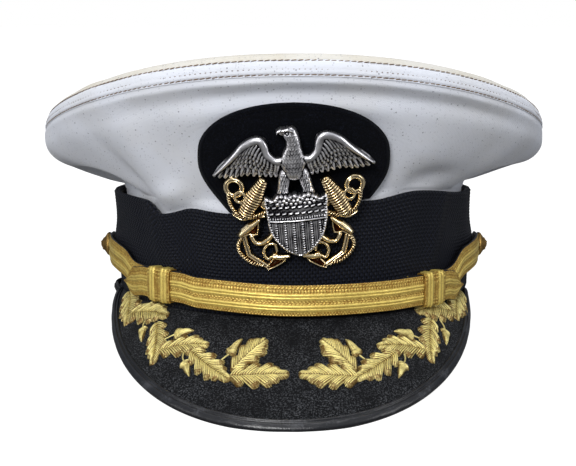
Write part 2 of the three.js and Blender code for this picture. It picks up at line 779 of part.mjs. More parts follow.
function anchor(side) {
  const { shank, shankHalf, ring, ringWire, stock, barrel } = ANCHOR;
  const ringY = shank / 2;
  const stockY = ringY - 8.4;
  const armY = -shank / 2;
  const circle = new THREE.Path().absarc(0, ringY, ring - 2 * ringWire, 0, Math.PI * 2, true);
  const ringOutline = spread(0, 330, 12).map((turn) => [
    ring * Math.cos(radians(turn)), ringY + ring * Math.sin(radians(turn)),
  ]);
  const armOutline = [
    [-shankHalf, armY + 5], [-5, armY + 3], [-8.4, armY + 7], [-6.6, armY + 8.6],
    [-11.4, armY + 14.6], [-12.4, armY + 5.6], [-10.4, armY + 6.2], [-6, armY + 0.4], [0, armY - 1.6],
    [6, armY + 0.4], [10.4, armY + 6.2], [12.4, armY + 5.6], [11.4, armY + 14.6],
    [6.6, armY + 8.6], [8.4, armY + 7], [5, armY + 3], [shankHalf, armY + 5],
  ];
  const roll = new THREE.CylinderGeometry(barrel * 0.7, barrel, stock, 8);
  const rollEnd = roll.clone().rotateZ(Math.PI);
  roll.translate(0, stock / 2 - 0.01, 0);
  rollEnd.translate(0, -stock / 2, 0);
  const stockRoll = joined([roll, rollEnd]).rotateZ(Math.PI / 2).scale(1, 1, 0.5);
  const pieces = [
    plate([[-shankHalf, ringY - ring + 0.4], [-shankHalf, armY], [shankHalf, armY],
      [shankHalf, ringY - ring + 0.4]], 0.2, 2.4),
    plate(ringOutline, 0.2, 2, [circle]),
    stockRoll.translate(0, stockY, 1.65),
    plate(armOutline, 0.2, 2.6),
  ];
  const whole = joined(pieces);
  whole.rotateZ(radians(side * 50.5));
  return whole.translate(side * -3.2, -24.6, 0);
}

// The rope that hangs from each ring and shows outside the stock and round the arms.
function rope(side) {
  const path = new THREE.CatmullRomCurve3([
    [-26.8, -9.4], [-26.2, -15.4], [-22.4, -20.8], [-16.4, -20.4], [-13.4, -17],
  ].map(([x, y]) => vector(side * -x, y, 1.2)));
  const low = new THREE.CatmullRomCurve3([
    [-21.4, -28.6], [-23.4, -33.6], [-20.6, -40.4], [-14.8, -42.4],
  ].map(([x, y]) => vector(side * -x, y, 1.2)));
  const section = new THREE.Shape().absarc(0, 0, 0.95, 0, Math.PI * 2);
  const sweep = (curve, steps) => new THREE.ExtrudeGeometry(section, {
    extrudePath: curve, steps, curveSegments: 3, bevelEnabled: false,
  });
  return [sweep(path, 6), sweep(low, 5)];
}

function badgeAnchors() {
  return placeBadge(joined([anchor(1), anchor(-1), ...rope(1), ...rope(-1)]));
}

// Raised embroidery on the visor

// The visor's point above a place in plan, found by closing in on it.
function visorAt(x, y) {
  let turn = THREE.MathUtils.radToDeg(Math.atan2(x * 1.25, -y));
  let share = 0.5;
  const probe = 0.01;
  for (let pass = 0; pass < 8; pass += 1) {
    const here = visorPoint(turn, share);
    const byTurn = visorPoint(turn + 1, share).sub(here);
    const byShare = visorPoint(turn, share + probe).sub(here).divideScalar(probe);
    const offX = x - here.x;
    const offY = y - here.y;
    const size = byTurn.x * byShare.y - byTurn.y * byShare.x;
    turn += (offX * byShare.y - offY * byShare.x) / size;
    share += (byTurn.x * offY - byTurn.y * offX) / size;
  }
  return { point: visorPoint(turn, share), normal: visorNormal(turn, share) };
}

// A padded motif: rows across its length, thin at the outline and full along its midrib.
function motif({ base, tip, width }, side, rows, height) {
  const start = visorAt(side * base[0], base[1]);
  const end = visorAt(side * tip[0], tip[1]);
  const along = end.point.clone().sub(start.point);
  const up = start.normal.clone().add(end.normal).normalize();
  const across = vector().crossVectors(up, along).normalize();
  const sections = rows.map((row) => {
    const middle = start.point.clone().addScaledVector(along, row.along);
    const half = (row.half * width) / 2;
    const raised = (share, lift) => {
      const place = middle.clone().addScaledVector(across, share * half);
      const { point, normal } = visorAt(place.x, place.y);
      return point.addScaledVector(normal, lift);
    };
    const crest = height * (0.45 + 0.55 * Math.min(row.half * 1.4, 1));
    return [
      raised(-1, 0.8), raised(0, crest), raised(1, 0.8),
      raised(1, GAP), raised(0, GAP), raised(-1, GAP),
    ];
  });
  return loft(sections);
}

// Assembly

const cap = new THREE.Group();

function addPart(name, geometry, look) {
  const mesh = new THREE.Mesh(geometry, new THREE.MeshStandardMaterial(COLOURS[look]));
  mesh.name = name;
  cap.add(mesh);
}

addPart('hatband', hatband(), 'bandRib');
addPart('crown_side', crownSide(), 'crownCover');
addPart('crown_welt', crownWelt(), 'crownPanel');
addPart('crown_top', crownTop(), 'crownPanel');
addPart('badge_patch', badgePatch(), 'felt');
addPart('badge_anchors', badgeAnchors(), 'goldCast');
addPart('badge_eagle', badgeEagle(), 'silver');
addPart('visor', visor(), 'felt');
addPart('visor_binding', visorBinding(), 'leather');
addPart('chin_strap_front', frontStrap(), 'goldLace');
for (const slide of SLIDES) {
  const side = Math.sign(slide.turn);
  addPart(`chin_strap_${slide.side}`, sideStrap(side), 'goldLace');
  addPart(`keeper_${slide.side}`, slideLoop(slide), 'goldLace');
  addPart(`button_${slide.side}`, button(side), 'brass');
}
for (const [half, side] of [['left', -1], ['right', 1]]) {
  LEAVES.forEach((leaf, i) => {
    const shape = motif(leaf, side, LEAF_ROWS, EMBROIDERY.leafHeight);
    addPart(`oak_leaf_${half}_${i + 1}`, shape, 'goldThread');
  });
  ACORNS.forEach((acorn, i) => {
    if (acorn.leftOnly && side > 0) return;
    const shape = motif(acorn, side, ACORN_ROWS, EMBROIDERY.acornHeight);
    addPart(`acorn_${half}_${i + 1}`, shape, 'goldThread');
  });
}

// Tips the cap back on to its resting surface and centres it over the origin.
cap.rotation.x = -TIP_BACK;
const restingBox = new THREE.Box3().setFromObject(cap, true);
const restingCentre = restingBox.getCenter(vector());
cap.position.set(-restingCentre.x, -restingCentre.y, -restingBox.min.z);

const part = new THREE.Group();
part.add(cap);

export default part;
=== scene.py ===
# The looks of a combination cap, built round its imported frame. Sizes are millimetres in the cap's
# own frame, as in the part's source: origin in the middle of the head band's lower edge, +X to the
# right as seen from the front, -Y to the front, +Z up. settle() tips the cap back on to the ground
# and turns millimetres into metres.

import math

import bmesh
import bpy
import numpy as np
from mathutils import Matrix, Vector


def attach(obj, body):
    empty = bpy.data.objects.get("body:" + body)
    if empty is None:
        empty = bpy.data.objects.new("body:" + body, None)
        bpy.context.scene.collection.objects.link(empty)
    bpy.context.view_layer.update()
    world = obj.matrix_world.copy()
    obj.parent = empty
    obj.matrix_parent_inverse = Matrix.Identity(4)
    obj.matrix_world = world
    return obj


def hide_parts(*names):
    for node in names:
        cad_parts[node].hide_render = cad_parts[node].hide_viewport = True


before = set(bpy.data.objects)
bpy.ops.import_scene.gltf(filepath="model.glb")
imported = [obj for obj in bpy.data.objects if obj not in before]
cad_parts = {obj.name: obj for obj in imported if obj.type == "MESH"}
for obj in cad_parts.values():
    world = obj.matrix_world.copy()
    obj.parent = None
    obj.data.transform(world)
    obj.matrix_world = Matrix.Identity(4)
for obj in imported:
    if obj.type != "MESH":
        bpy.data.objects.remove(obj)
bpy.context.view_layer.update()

# Driving dimensions, the same as the part's.
GAP = 0.3
TIP_BACK = math.radians(7.3)
SETTLED_AT = (0.0045, 1.2489, 12.6647)
MM = 0.001
BAND = {"half_width": 86, "half_length": 104, "wall": 3, "foot_bulge": 2.2}
RIM = {
    "half_width": 121.8, "front_reach": 136.7, "back_reach": 128, "centre_y": 15,
    "squareness": 2.17, "height": 70.5, "slope": 8, "front_rise": 16.7, "back_rise": -2.5,
    "roll": 0.6,
}
CROWN = {"wall": 2, "hem_bottom": 26, "hem_rise": 0.7, "hem_bend": 1.5}
TOP = {"centre_height": 82, "wall": 2}
VISOR = {
    "half_width": 83, "shift": -1.5, "corner_y": -17.1, "corner_z": 4.46, "front_y": -149.5,
    "front_z": -32.9, "squareness": 2.163, "drop_power": 0.788, "first_turn": -82,
    "last_turn": 79.5, "thickness": 1.4, "tuck": 2.5,
}
BINDING = {"skin": 0.5, "slot": 1.5, "first_turn": -86.5, "last_turn": 83}
FELT_FACE = BINDING["skin"] + GAP + VISOR["thickness"]
STRAP = {"width": 12.4, "thickness": 1.5, "stand": 3}
SLIDE = {"length": 13.4, "play": 0.4, "skin": 0.35, "squareness": 0.35}
BUTTON = {"turn": 83.6, "height": 17.85, "clearance": 0.4, "radius": 5.85}
BADGE = {"x": -0.3, "y": -113.8, "z": 62, "lean": 12, "roll": 4.8, "bend_radius": 95, "grid": 0.2}
PATCH = {
    "thickness": 2, "middle_height": 64, "foot_step": 6, "stand": 0.7, "span": 4, "hollow": 2,
}

# Turn round the band in degrees from the front towards +X, height of the band's upper edge, flare.
BAND_EDGE = [
    (-180, 45, 0), (-110, 45.5, 2), (-62, 45.6, 2.6), (-47, 44.4, 1.6), (-41, 39, 0.4),
    (-29, 42.3, 0.8), (-19, 41, 0.6), (0, 43, 0.6), (21, 46.2, 0.6), (36, 49.2, 1),
    (63, 46.2, 1), (110, 45.5, 1), (180, 45, 0),
]
BAND_TOP, BAND_FLARE = 1, 2

# The crown's side wall at the front, the sides and the back: shares of the way outward and upward.
FRONT_PROFILE = [(0, 0), (0.18, 0.24), (0.46, 0.52), (0.8, 0.82), (1, 1)]
SIDE_PROFILE = [(0, 0), (0.34, 0.1), (0.72, 0.36), (1.02, 0.68), (1, 1)]
BACK_PROFILE = [(0, 0), (0.34, 0.06), (0.74, 0.26), (1.03, 0.62), (1, 1)]

# Folds in the side wall: turn, level, depth, half width in degrees, reach up the wall, lean.
FOLDS = [
    (78, 0.36, 2.6, 9, 0.2, 26), (55, 0.22, 1.6, 7, 0.22, -14), (-72, 0.34, 2.2, 9, 0.2, -24),
    (-46, 0.26, 1.8, 7, 0.26, 8), (140, 0.3, 2, 9, 0.24, 12), (-140, 0.3, 2, 9, 0.24, -12),
]

# The welt round the top: steps outward and upward from the lower stitch line.
WELT_STEPS = [
    (0, 0.3), (-0.1, 1.6), (-0.6, 3.6), (-1.3, 5.4), (-2.5, 7), (-4.1, 8.1), (-6, 8.6),
]

# The badge patch's outline: height above its widest line, half width.
PATCH_OUTLINE = [
    (-26, 23), (-19, 28.9), (-12, 34.3), (-6, 37.4), (0, 38.1), (7, 36.8), (12.5, 32.4),
    (16.6, 26), (19.4, 18), (21, 9), (21.5, 0.2),
]

# The chin strap's front layer: turn, height of its middle, width.
FRONT_STRAP = [
    (-56, 7.7, 1), (-50, 8.9, 12.4), (-45, 10.2, 12.4), (-31, 10.2, 12.4), (-25, 9, 12.4),
    (0, 7.7, 12.4), (25, 7.9, 12.4), (33, 8.1, 12.4), (47, 8.1, 12.4), (50, 7.1, 12.4),
    (55.6, 6, 1),
]

# The side straps: turn, height of the middle, stand from the band, width.
SIDE_STRAP = [
    (32, 9, 3, 12.4), (44, 9.9, 3, 12.4), (50, 12.3, 3, 12.4), (57, 15.2, 3.1, 12.4),
    (67, 17.2, 4.6, 12.4), (76, 18, 4.8, 12.4), (84.6, 17.85, 4.4, 11.4), (88.8, 17.7, 4.2, 6),
]
FRONT_STAND = STRAP["stand"] + STRAP["thickness"] + GAP

# The slides: side, turn, height.
SLIDES = [("left", -37.9, 10.2), ("right", 40.1, 8.1)]


def column(rows, number):
    return np.array([row[number] for row in rows], float)


def smooth(share):
    share = np.clip(share, 0, 1)
    return share * share * (3 - 2 * share)


def read(rows, number, at):
    """Reads one column of a table at a position, easing smoothly between its rows."""
    stations, values = column(rows, 0), column(rows, number)
    before = np.clip(np.searchsorted(stations, at) - 1, 0, len(stations) - 2)
    share = smooth((at - stations[before]) / (stations[before + 1] - stations[before]))
    return values[before] + (values[before + 1] - values[before]) * share


def signed_power(value, exponent):
    return np.sign(value) * np.abs(value) ** exponent


def points_at(x, y, z):
    return np.stack(np.broadcast_arrays(x, y, z), axis=-1).astype(float)


def unit(vectors):
    return vectors / np.maximum(np.linalg.norm(vectors, axis=-1, keepdims=True), 1e-12)


def lerp(first, last, share):
    return first + (last - first) * share


def spaced(first, last, count):
    return np.linspace(first, last, count)


def hump(off, width):
    """A smooth hump: 1 where off is 0, and nearly gone two widths away."""
    return np.exp(-((off / width) ** 2))


def blended(grid, across, up):
    """A grid's value at any places, counted in its cells."""
    i = np.clip(across.astype(int), 0, grid.shape[0] - 2)
    j = np.clip(up.astype(int), 0, grid.shape[1] - 2)
    right, above = across - i, up - j
    if grid.ndim > 2:
        right, above = right[..., None], above[..., None]
    near = lerp(grid[i, j], grid[i + 1, j], right)
    far = lerp(grid[i, j + 1], grid[i + 1, j + 1], right)
    return lerp(near, far, above)


def turns_round(count):
    """Turns in degrees once round the cap, from its back."""
    return np.linspace(-180, 180, count + 1)[:-1]


def settle(points):
    """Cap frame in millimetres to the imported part's frame in metres. Nothing goes below the ground."""
    x, y, z = np.moveaxis(np.asarray(points, float), -1, 0)
    cosine, sine = math.cos(TIP_BACK), math.sin(TIP_BACK)
    across = x + SETTLED_AT[0]
    along = y * cosine + z * sine + SETTLED_AT[1]
    up = np.maximum(-y * sine + z * cosine + SETTLED_AT[2], 0)
    return np.stack([across, along, up], axis=-1) * MM


# Head band


def band_normal(turn):
    angle = np.radians(turn)
    across = np.sin(angle) / BAND["half_width"]
    along = -np.cos(angle) / BAND["half_length"]
    return unit(points_at(across, along, 0))


def beside_band(turn, height, stand):
    """A point at a distance outside the plain oval that the band's foot follows."""
    turn, height, stand = np.broadcast_arrays(turn, height, stand)
    angle = np.radians(turn)
    foot = points_at(BAND["half_width"] * np.sin(angle), -BAND["half_length"] * np.cos(angle), height)
    return foot + band_normal(turn) * np.asarray(stand, float)[..., None]


def band_stand(turn, height):
    share = height / read(BAND_EDGE, BAND_TOP, turn)
    return read(BAND_EDGE, BAND_FLARE, turn) * share**2


# Crown


def rim_point(turn):
    angle = np.radians(turn)
    ahead = signed_power(np.cos(angle), 2 / RIM["squareness"])
    reach = np.where(ahead > 0, RIM["front_reach"], RIM["back_reach"])
    rise = np.where(ahead > 0, RIM["front_rise"], RIM["back_rise"])
    across = RIM["half_width"] * signed_power(np.sin(angle), 2 / RIM["squareness"])
    height = RIM["height"] + RIM["slope"] * ahead + rise * ahead**2 + RIM["roll"] * np.sin(angle)
    return points_at(across, RIM["centre_y"] - reach * ahead, height)


def rim_normal(turn):
    along = rim_point(turn + 1) - rim_point(turn - 1)
    return unit(points_at(along[..., 1], -along[..., 0], 0))


def along_knots(knots, share):
    """A smooth curve through evenly timed knots, given in the second last axis."""
    place = share * (knots.shape[-2] - 1)
    here = np.clip(np.floor(place).astype(int), 0, knots.shape[-2] - 2)
    part = (place - here)[..., None]

    def knot(step):
        index = np.clip(here + step, 0, knots.shape[-2] - 1)
        return np.take_along_axis(knots, index[..., None, None], axis=-2)[..., 0, :]

    start, end = knot(0), knot(1)
    leave = (end - knot(-1)) * 0.5
    arrive = (knot(2) - start) * 0.5
    return (
        (2 * start - 2 * end + leave + arrive) * part**3
        + (-3 * start + 3 * end - 2 * leave - arrive) * part**2
        + leave * part
        + start
    )


def plain_crown_point(turn, share):
    """The side wall before its folds: share is 0 at the band and 1 at the lower stitch line."""
    turn, share = np.broadcast_arrays(np.asarray(turn, float), np.asarray(share, float))
    ahead = signed_power(np.cos(np.radians(turn)), 2 / RIM["squareness"])
    front = np.maximum(ahead, 0) ** 1.5
    back = np.maximum(-ahead, 0) ** 1.2
    weights = [front, 1 - front - back, back]
    profiles = [FRONT_PROFILE, SIDE_PROFILE, BACK_PROFILE]
    knots = sum(w[..., None, None] * np.array(p, float) for w, p in zip(weights, profiles))
    way = along_knots(knots, share)
    height = read(BAND_EDGE, BAND_TOP, turn) + CROWN["hem_rise"]
    foot = beside_band(turn, height, -BAND["wall"] - GAP)
    return lerp(foot, rim_point(turn), way[..., [0, 0, 1]])


def crown_normal(turn, share):
    up = plain_crown_point(turn, np.minimum(share + 0.01, 1))
    up = up - plain_crown_point(turn, np.maximum(share - 0.01, 0))
    round_it = plain_crown_point(turn + 1, share) - plain_crown_point(turn - 1, share)
    return unit(np.cross(round_it, up))


def fold_depth(turn, share):
    depth = 0
    for at, level, deep, half_width, reach, lean in FOLDS:
        rise = (share - level) / reach
        off = (turn - at - lean * (share - level)) / half_width
        depth = depth + deep * np.exp(-(off**2) - rise**2)
    return depth


def crown_point(turn, share, inward=0):
    turn, share = np.broadcast_arrays(np.asarray(turn, float), np.asarray(share, float))
    depth = fold_depth(turn, share) + inward
    return plain_crown_point(turn, share) - crown_normal(turn, share) * depth[..., None]


def welt_point(turn, outward, upward):
    turn, outward, upward = np.broadcast_arrays(turn, outward, upward)
    point = rim_point(turn) + rim_normal(turn) * np.asarray(outward, float)[..., None]
    return point + points_at(0, 0, upward)


def crown_top_point(turn, share, depth):
    turn, share = np.broadcast_arrays(np.asarray(turn, float), np.asarray(share, float))
    step_out, step_up = WELT_STEPS[-1][0] - GAP, WELT_STEPS[-1][1]
    edge = welt_point(turn, step_out, step_up)
    opposite = welt_point(180 - turn, step_out, step_up)
    tilt = (edge[..., 2] - opposite[..., 2]) / 2
    level = (edge[..., 2] + opposite[..., 2]) / 2
    sag = (level - TOP["centre_height"]) * share**2
    height = TOP["centre_height"] + tilt * share + sag - depth
    return points_at(edge[..., 0] * share, lerp(RIM["centre_y"], edge[..., 1], share), height)


def crown_front_y(x, z):
    """How far forward the plain side wall is at a place across and a height."""
    degrees_per_mm, about_wall_height = 0.7, 60
    turn = degrees_per_mm * x
    share = np.full_like(x, 0.5)
    for unused in range(12):
        here = plain_crown_point(turn, share)
        turn = turn + (x - here[..., 0]) * degrees_per_mm
        share = np.clip(share + (z - here[..., 2]) / about_wall_height, 0, 1)
    return plain_crown_point(turn, share)[..., 1]


def patch_point(across, height, depth):
    """The felt is stiff, so it spans the wall's hollow just above the band."""
    above = crown_front_y(across, height + PATCH["span"]) + PATCH["hollow"]
    rest = np.minimum(crown_front_y(across, height), above)
    return points_at(across, rest - PATCH["stand"] - PATCH["thickness"] + depth, height)


# Visor


def visor_outline(turn):
    angle = np.radians(turn)
    power = 2 / VISOR["squareness"]
    ahead = signed_power(np.cos(angle), power)
    return points_at(
        VISOR["shift"] + VISOR["half_width"] * signed_power(np.sin(angle), power),
        VISOR["corner_y"] + (VISOR["front_y"] - VISOR["corner_y"]) * ahead,
        VISOR["corner_z"] + (VISOR["front_z"] - VISOR["corner_z"]) * ahead ** VISOR["drop_power"],
    )


def visor_frame(turn):
    """The outline, root, and directions down the slope and out of the face, for a row of turns."""
    turn = np.asarray(turn, float)
    edge = visor_outline(turn)
    along = unit(visor_outline(turn + 0.5) - visor_outline(turn - 0.5))
    wide, long = BAND["half_width"], BAND["half_length"]
    root_angle = np.zeros_like(turn)
    for unused in range(8):
        shift = (long**2 - wide**2) * np.cos(root_angle)
        root_angle = np.arctan2(wide * edge[..., 0], -long * edge[..., 1] - shift)
    root_turn = np.degrees(root_angle)
    root = beside_band(root_turn, -GAP, GAP)
    foot = root
    for unused in range(3):
        normal = unit(np.cross(along, edge - foot))
        inward = np.sum(normal * band_normal(root_turn), axis=-1, keepdims=True) < 0
        normal = np.where(inward, -normal, normal)
        foot = root - normal * FELT_FACE
    down = unit(np.cross(along, normal))
    backward = np.sum(down * (edge - foot), axis=-1, keepdims=True) < 0
    return edge, root, root_turn, normal, np.where(backward, -down, down)


def visor_point(turn, share, depth=0.0):
    turn, share, depth = np.broadcast_arrays(turn, share, np.asarray(depth, float))
    edge, root, root_turn, normal, down = visor_frame(turn)
    lip = edge - down * (BINDING["slot"] + GAP) + normal * (FELT_FACE - depth)[..., None]
    return lerp(root - normal * depth[..., None], lip, share[..., None])


def visor_normal(turn, share):
    out = visor_point(turn, share + 0.02) - visor_point(turn, share - 0.02)
    round_it = visor_point(turn + 0.5, share) - visor_point(turn - 0.5, share)
    normal = unit(np.cross(round_it, out))
    return np.where(normal[..., 2:] < 0, -normal, normal)


def visor_at(x, y):
    """The visor's points and normals above places in plan, found by closing in on them."""
    x, y = np.broadcast_arrays(np.asarray(x, float), np.asarray(y, float))
    turn = np.degrees(np.arctan2(x * 1.25, -y))
    share = np.full(x.shape, 0.5)
    probe = 0.01
    for unused in range(8):
        here = visor_point(turn, share)
        by_turn = visor_point(turn + 1, share) - here
        by_share = (visor_point(turn, share + probe) - here) / probe
        off_x, off_y = x - here[..., 0], y - here[..., 1]
        size = by_turn[..., 0] * by_share[..., 1] - by_turn[..., 1] * by_share[..., 0]
        turn = turn + (off_x * by_share[..., 1] - off_y * by_share[..., 0]) / size
        share = share + (by_turn[..., 0] * off_y - by_turn[..., 1] * off_x) / size
    return visor_point(turn, share), visor_normal(turn, share)


class VisorMap:
    """The visor's face above an even grid in plan, worked out once and read often."""

    def __init__(self, half_width, front, back, step):
        self.step = step
        self.corner = (-half_width, front)
        across = np.arange(-half_width, half_width + step, step)
        x, y = np.meshgrid(across, np.arange(front, back, step), indexing="ij")
        with np.errstate(all="ignore"):
            points, normals = visor_at(x, y)
        self.values = np.nan_to_num(np.concatenate([points, normals], axis=-1))

    def at(self, x, y):
        across = (np.asarray(x) - self.corner[0]) / self.step
        ahead = (np.asarray(y) - self.corner[1]) / self.step
        both = blended(self.values, across, ahead)
        return both[..., :3], unit(both[..., 3:])


VISOR_FACE = VisorMap(half_width=84, front=-138, back=-40, step=1.5)


# Meshes


def add_object(name, mesh):
    made = bpy.data.objects.new(name, mesh)
    bpy.context.scene.collection.objects.link(made)
    return made


def finish_piece(made, slot, *nodes):
    """Places a finished piece on the cap: it rides on the one body and stands for its nodes."""
    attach(made, "root")
    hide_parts(*nodes)
    return made


class Shape:
    """Gathers closed forms made of grids of points, with a finish and a place on the cloth."""

    def __init__(self):
        self.points = []
        self.faces = []
        self.places = []
        self.finishes = []
        self.crests = []
        self.count = 0

    def add(self, points, faces, places=None, finish=0):
        """Adds faces over points. Places is one pair per face corner."""
        self.points.append(np.asarray(points, float).reshape(-1, 3))
        self.faces.append(np.asarray(faces) + self.count)
        corners = np.asarray(faces).size
        self.places.append(np.zeros((corners, 2)) if places is None else places.reshape(-1, 2))
        self.finishes.append(np.broadcast_to(np.asarray(finish), (len(faces),)))
        self.count += len(self.points[-1])
        self.crests.append(np.ones(len(self.points[-1])))

    def mark(self, crest):
        """Says how high the points of the last whole form lie in its relief, from 0 to 1."""
        for number, points in enumerate(self.points):
            if points.size == crest.size * 3:
                self.crests[number] = np.clip(crest.reshape(-1), 0, 1)

    def loft(self, sections, ring=False, finish=None):
        """Joins rows of sections, each a loop of points. A ring closes on itself."""
        rows, size = sections.shape[:2]
        spans = rows if ring else rows - 1
        i, j = np.meshgrid(np.arange(spans), np.arange(size), indexing="ij")
        below, beside = (i + 1) % rows, (j + 1) % size
        quads = np.stack([i * size + j, i * size + beside, below * size + beside, below * size + j], -1)
        steps = np.linalg.norm(np.diff(sections, axis=0, append=sections[:1]), axis=-1).mean(axis=1)
        along = np.concatenate([[0], np.cumsum(steps)])
        girth = np.linalg.norm(np.roll(sections, -1, axis=1) - sections, axis=-1).mean(axis=0)
        across = np.concatenate([[0], np.cumsum(girth)])
        places = np.stack([
            np.stack([along[i], across[j]], -1), np.stack([along[i], across[j + 1]], -1),
            np.stack([along[i + 1], across[j + 1]], -1), np.stack([along[i + 1], across[j]], -1),
        ], axis=-2) * MM
        parts = np.zeros(size, int) if finish is None else np.asarray(finish)
        outward = turned_outward(sections, quads.reshape(-1, 4))
        if not outward:
            quads = quads[..., ::-1]
            places = places[..., ::-1, :]
        self.add(sections, quads.reshape(-1, 4), places, parts[j].reshape(-1))
        if not ring:
            for row, flip in ((0, outward), (rows - 1, not outward)):
                self.cap(sections[row], flip, int(parts[0]))
        return self

    def cap(self, loop, flip, finish=0):
        """Closes the end of a there-and-back section with a strip between its two faces."""
        half = len(loop) // 2
        pairs = [(k, len(loop) - 1 - k) for k in range(half)]
        quads = [[a, b, d, c] for (a, b), (c, d) in zip(pairs, pairs[1:])]
        faces = np.array(quads)
        if flip:
            faces = faces[:, ::-1]
        self.add(loop, faces, finish=finish)

    def piece(self, name, *finishes):
        """Makes the mesh, welds its seams and shades it smooth."""
        points = settle(np.concatenate(self.points))
        mesh = bpy.data.meshes.new(name)
        mesh.from_pydata(points.tolist(), [], [face for block in self.faces for face in block.tolist()])
        for finish in finishes:
            mesh.materials.append(finish)
        mesh.polygons.foreach_set("material_index", np.concatenate(self.finishes).astype(np.int32))
        layer = mesh.uv_layers.new(name="cloth")
        layer.data.foreach_set("uv", np.concatenate(self.places).astype(np.float32).ravel())
        high = mesh.attributes.new("crest", "FLOAT", "POINT")
        high.data.foreach_set("value", np.concatenate(self.crests).astype(np.float32))
        weld_and_smooth(mesh)
        return add_object(name, mesh)


def turned_outward(points, quads):
    flat = points.reshape(-1, 3)
    a, b, c, d = (flat[quads[:, k]] for k in range(4))
    centre = flat.mean(axis=0)
    volume = np.sum((a - centre) * np.cross(b - centre, c - centre))
    volume += np.sum((a - centre) * np.cross(c - centre, d - centre))
    return volume > 0


# Points this close become one, and edges this short go, in metres.
WELD, SLIVER = 1e-7, 1e-8


def weld_and_smooth(mesh):
    work = bmesh.new()
    work.from_mesh(mesh)
    bmesh.ops.remove_doubles(work, verts=work.verts, dist=WELD)
    bmesh.ops.dissolve_degenerate(work, edges=work.edges, dist=SLIVER)
    for face in work.faces:
        face.smooth = True
    work.to_mesh(mesh)
    work.free()


# Finishes. Patterns read Object coordinates, in metres, or the piece's own "cloth" map.


class Wiring:
    """Places nodes in a tree and joins them: an input is given a value or another node's output."""

    def __init__(self, tree):
        self.tree = tree

    def node(self, kind, inputs=None, **settings):
        made = self.tree.nodes.new(kind)
        for name, value in settings.items():
            setattr(made, name, value)
        for name, value in (inputs or {}).items():
            if isinstance(value, bpy.types.NodeSocket):
                self.tree.links.new(value, made.inputs[name])
            else:
                made.inputs[name].default_value = value
        return made

    def result(self, kind, inputs=None, **settings):
        """The first output of a new node."""
        return self.node(kind, inputs, **settings).outputs[0]

    def sums(self, operation, first, second=0.0, clamp=False):
        inputs = {0: first, 1: second}
        return self.result("ShaderNodeMath", inputs, operation=operation, use_clamp=clamp)

    def blend(self, share, first, second):
        """One colour at share 0 and the other at share 1."""
        inputs = {0: share, 6: first, 7: second}
        return self.node("ShaderNodeMix", inputs, data_type="RGBA").outputs[2]

    def between(self, value, low, high, first=0.0, last=1.0):
        inputs = {"Value": value, "From Min": low, "From Max": high, "To Min": first, "To Max": last}
        return self.result("ShaderNodeMapRange", inputs, clamp=True)

    def noise(self, place, size_mm, detail=2.0, roughness=0.5):
        inputs = {"Vector": place, "Scale": 1 / (size_mm * MM), "Detail": detail, "Roughness": roughness}
        return self.result("ShaderNodeTexNoise", inputs)


def new_tree(name, kind, inputs, output, output_kind):
    """An empty tree with named inputs and one output: the tree, its wiring, and what comes in."""
    tree = bpy.data.node_groups.new(name, kind)
    for label, socket_kind, value in inputs:
        socket = tree.interface.new_socket(label, in_out="INPUT", socket_type=socket_kind)
        if value is not None:
            socket.default_value = value
    tree.interface.new_socket(output, in_out="OUTPUT", socket_type=output_kind)
    wiring = Wiring(tree)
    return tree, wiring, wiring.node("NodeGroupInput").outputs


SHADER_TREE, GEOMETRY_TREE = "ShaderNodeTree", "GeometryNodeTree"
FLOAT, VECTOR, GEOMETRY = "NodeSocketFloat", "NodeSocketVector", "NodeSocketGeometry"
COUNT, OBJECT, MATERIAL = "NodeSocketInt", "NodeSocketObject", "NodeSocketMaterial"


def weave_group():
    """Threads over and under each other: size of a thread in millimetres, height out."""
    inputs = [("Place", VECTOR, None), ("Thread", FLOAT, 0.5)]
    tree, w, start = new_tree("weave", SHADER_TREE, inputs, "Height", FLOAT)
    scale = w.sums("DIVIDE", math.pi / MM, start["Thread"])
    parts = w.node("ShaderNodeSeparateXYZ", {0: start["Place"]}).outputs
    first, second, third = (w.sums("SINE", w.sums("MULTIPLY", part, scale)) for part in parts)
    crossing = w.sums("MULTIPLY", w.sums("ADD", first, second), third)
    w.node("NodeGroupOutput", {"Height": w.between(crossing, -2, 2)})
    return tree


def specks_group():
    """Small scattered specks: how far apart and how large they are in millimetres, mask out."""
    inputs = [
        ("Place", VECTOR, None), ("Apart", FLOAT, 6.0), ("Size", FLOAT, 0.4), ("Share", FLOAT, 0.5),
    ]
    tree, w, start = new_tree("specks", SHADER_TREE, inputs, "Mask", FLOAT)
    scale = w.sums("DIVIDE", 1 / MM, start["Apart"])
    cells = w.node("ShaderNodeTexVoronoi", {"Vector": start["Place"], "Scale": scale})
    edge = w.sums("DIVIDE", start["Size"], start["Apart"])
    dot = w.sums("LESS_THAN", cells.outputs["Distance"], edge)
    tone = w.node("ShaderNodeSeparateColor", {0: cells.outputs["Color"]}).outputs[0]
    kept = w.sums("LESS_THAN", tone, start["Share"])
    w.node("NodeGroupOutput", {"Mask": w.sums("MULTIPLY", dot, kept)})
    return tree


def wear_group():
    """Soft patches broken up by fine grain: size of the patches in millimetres, mask out."""
    inputs = [("Place", VECTOR, None), ("Patch", FLOAT, 20.0), ("Amount", FLOAT, 0.5)]
    tree, w, start = new_tree("wear", SHADER_TREE, inputs, "Mask", FLOAT)
    scale = w.sums("DIVIDE", 1 / MM, start["Patch"])
    broad = w.node("ShaderNodeTexNoise", {"Vector": start["Place"], "Scale": scale, "Detail": 4.0})
    fine = w.noise(start["Place"], 0.8, 3)
    mixed = w.sums("ADD", w.sums("MULTIPLY", broad.outputs[0], 0.7), w.sums("MULTIPLY", fine, 0.3))
    low = w.sums("SUBTRACT", 0.75, w.sums("MULTIPLY", start["Amount"], 0.4))
    mask = w.sums("MULTIPLY", w.sums("SUBTRACT", mixed, low), 5.0, True)
    w.node("NodeGroupOutput", {"Mask": mask})
    return tree


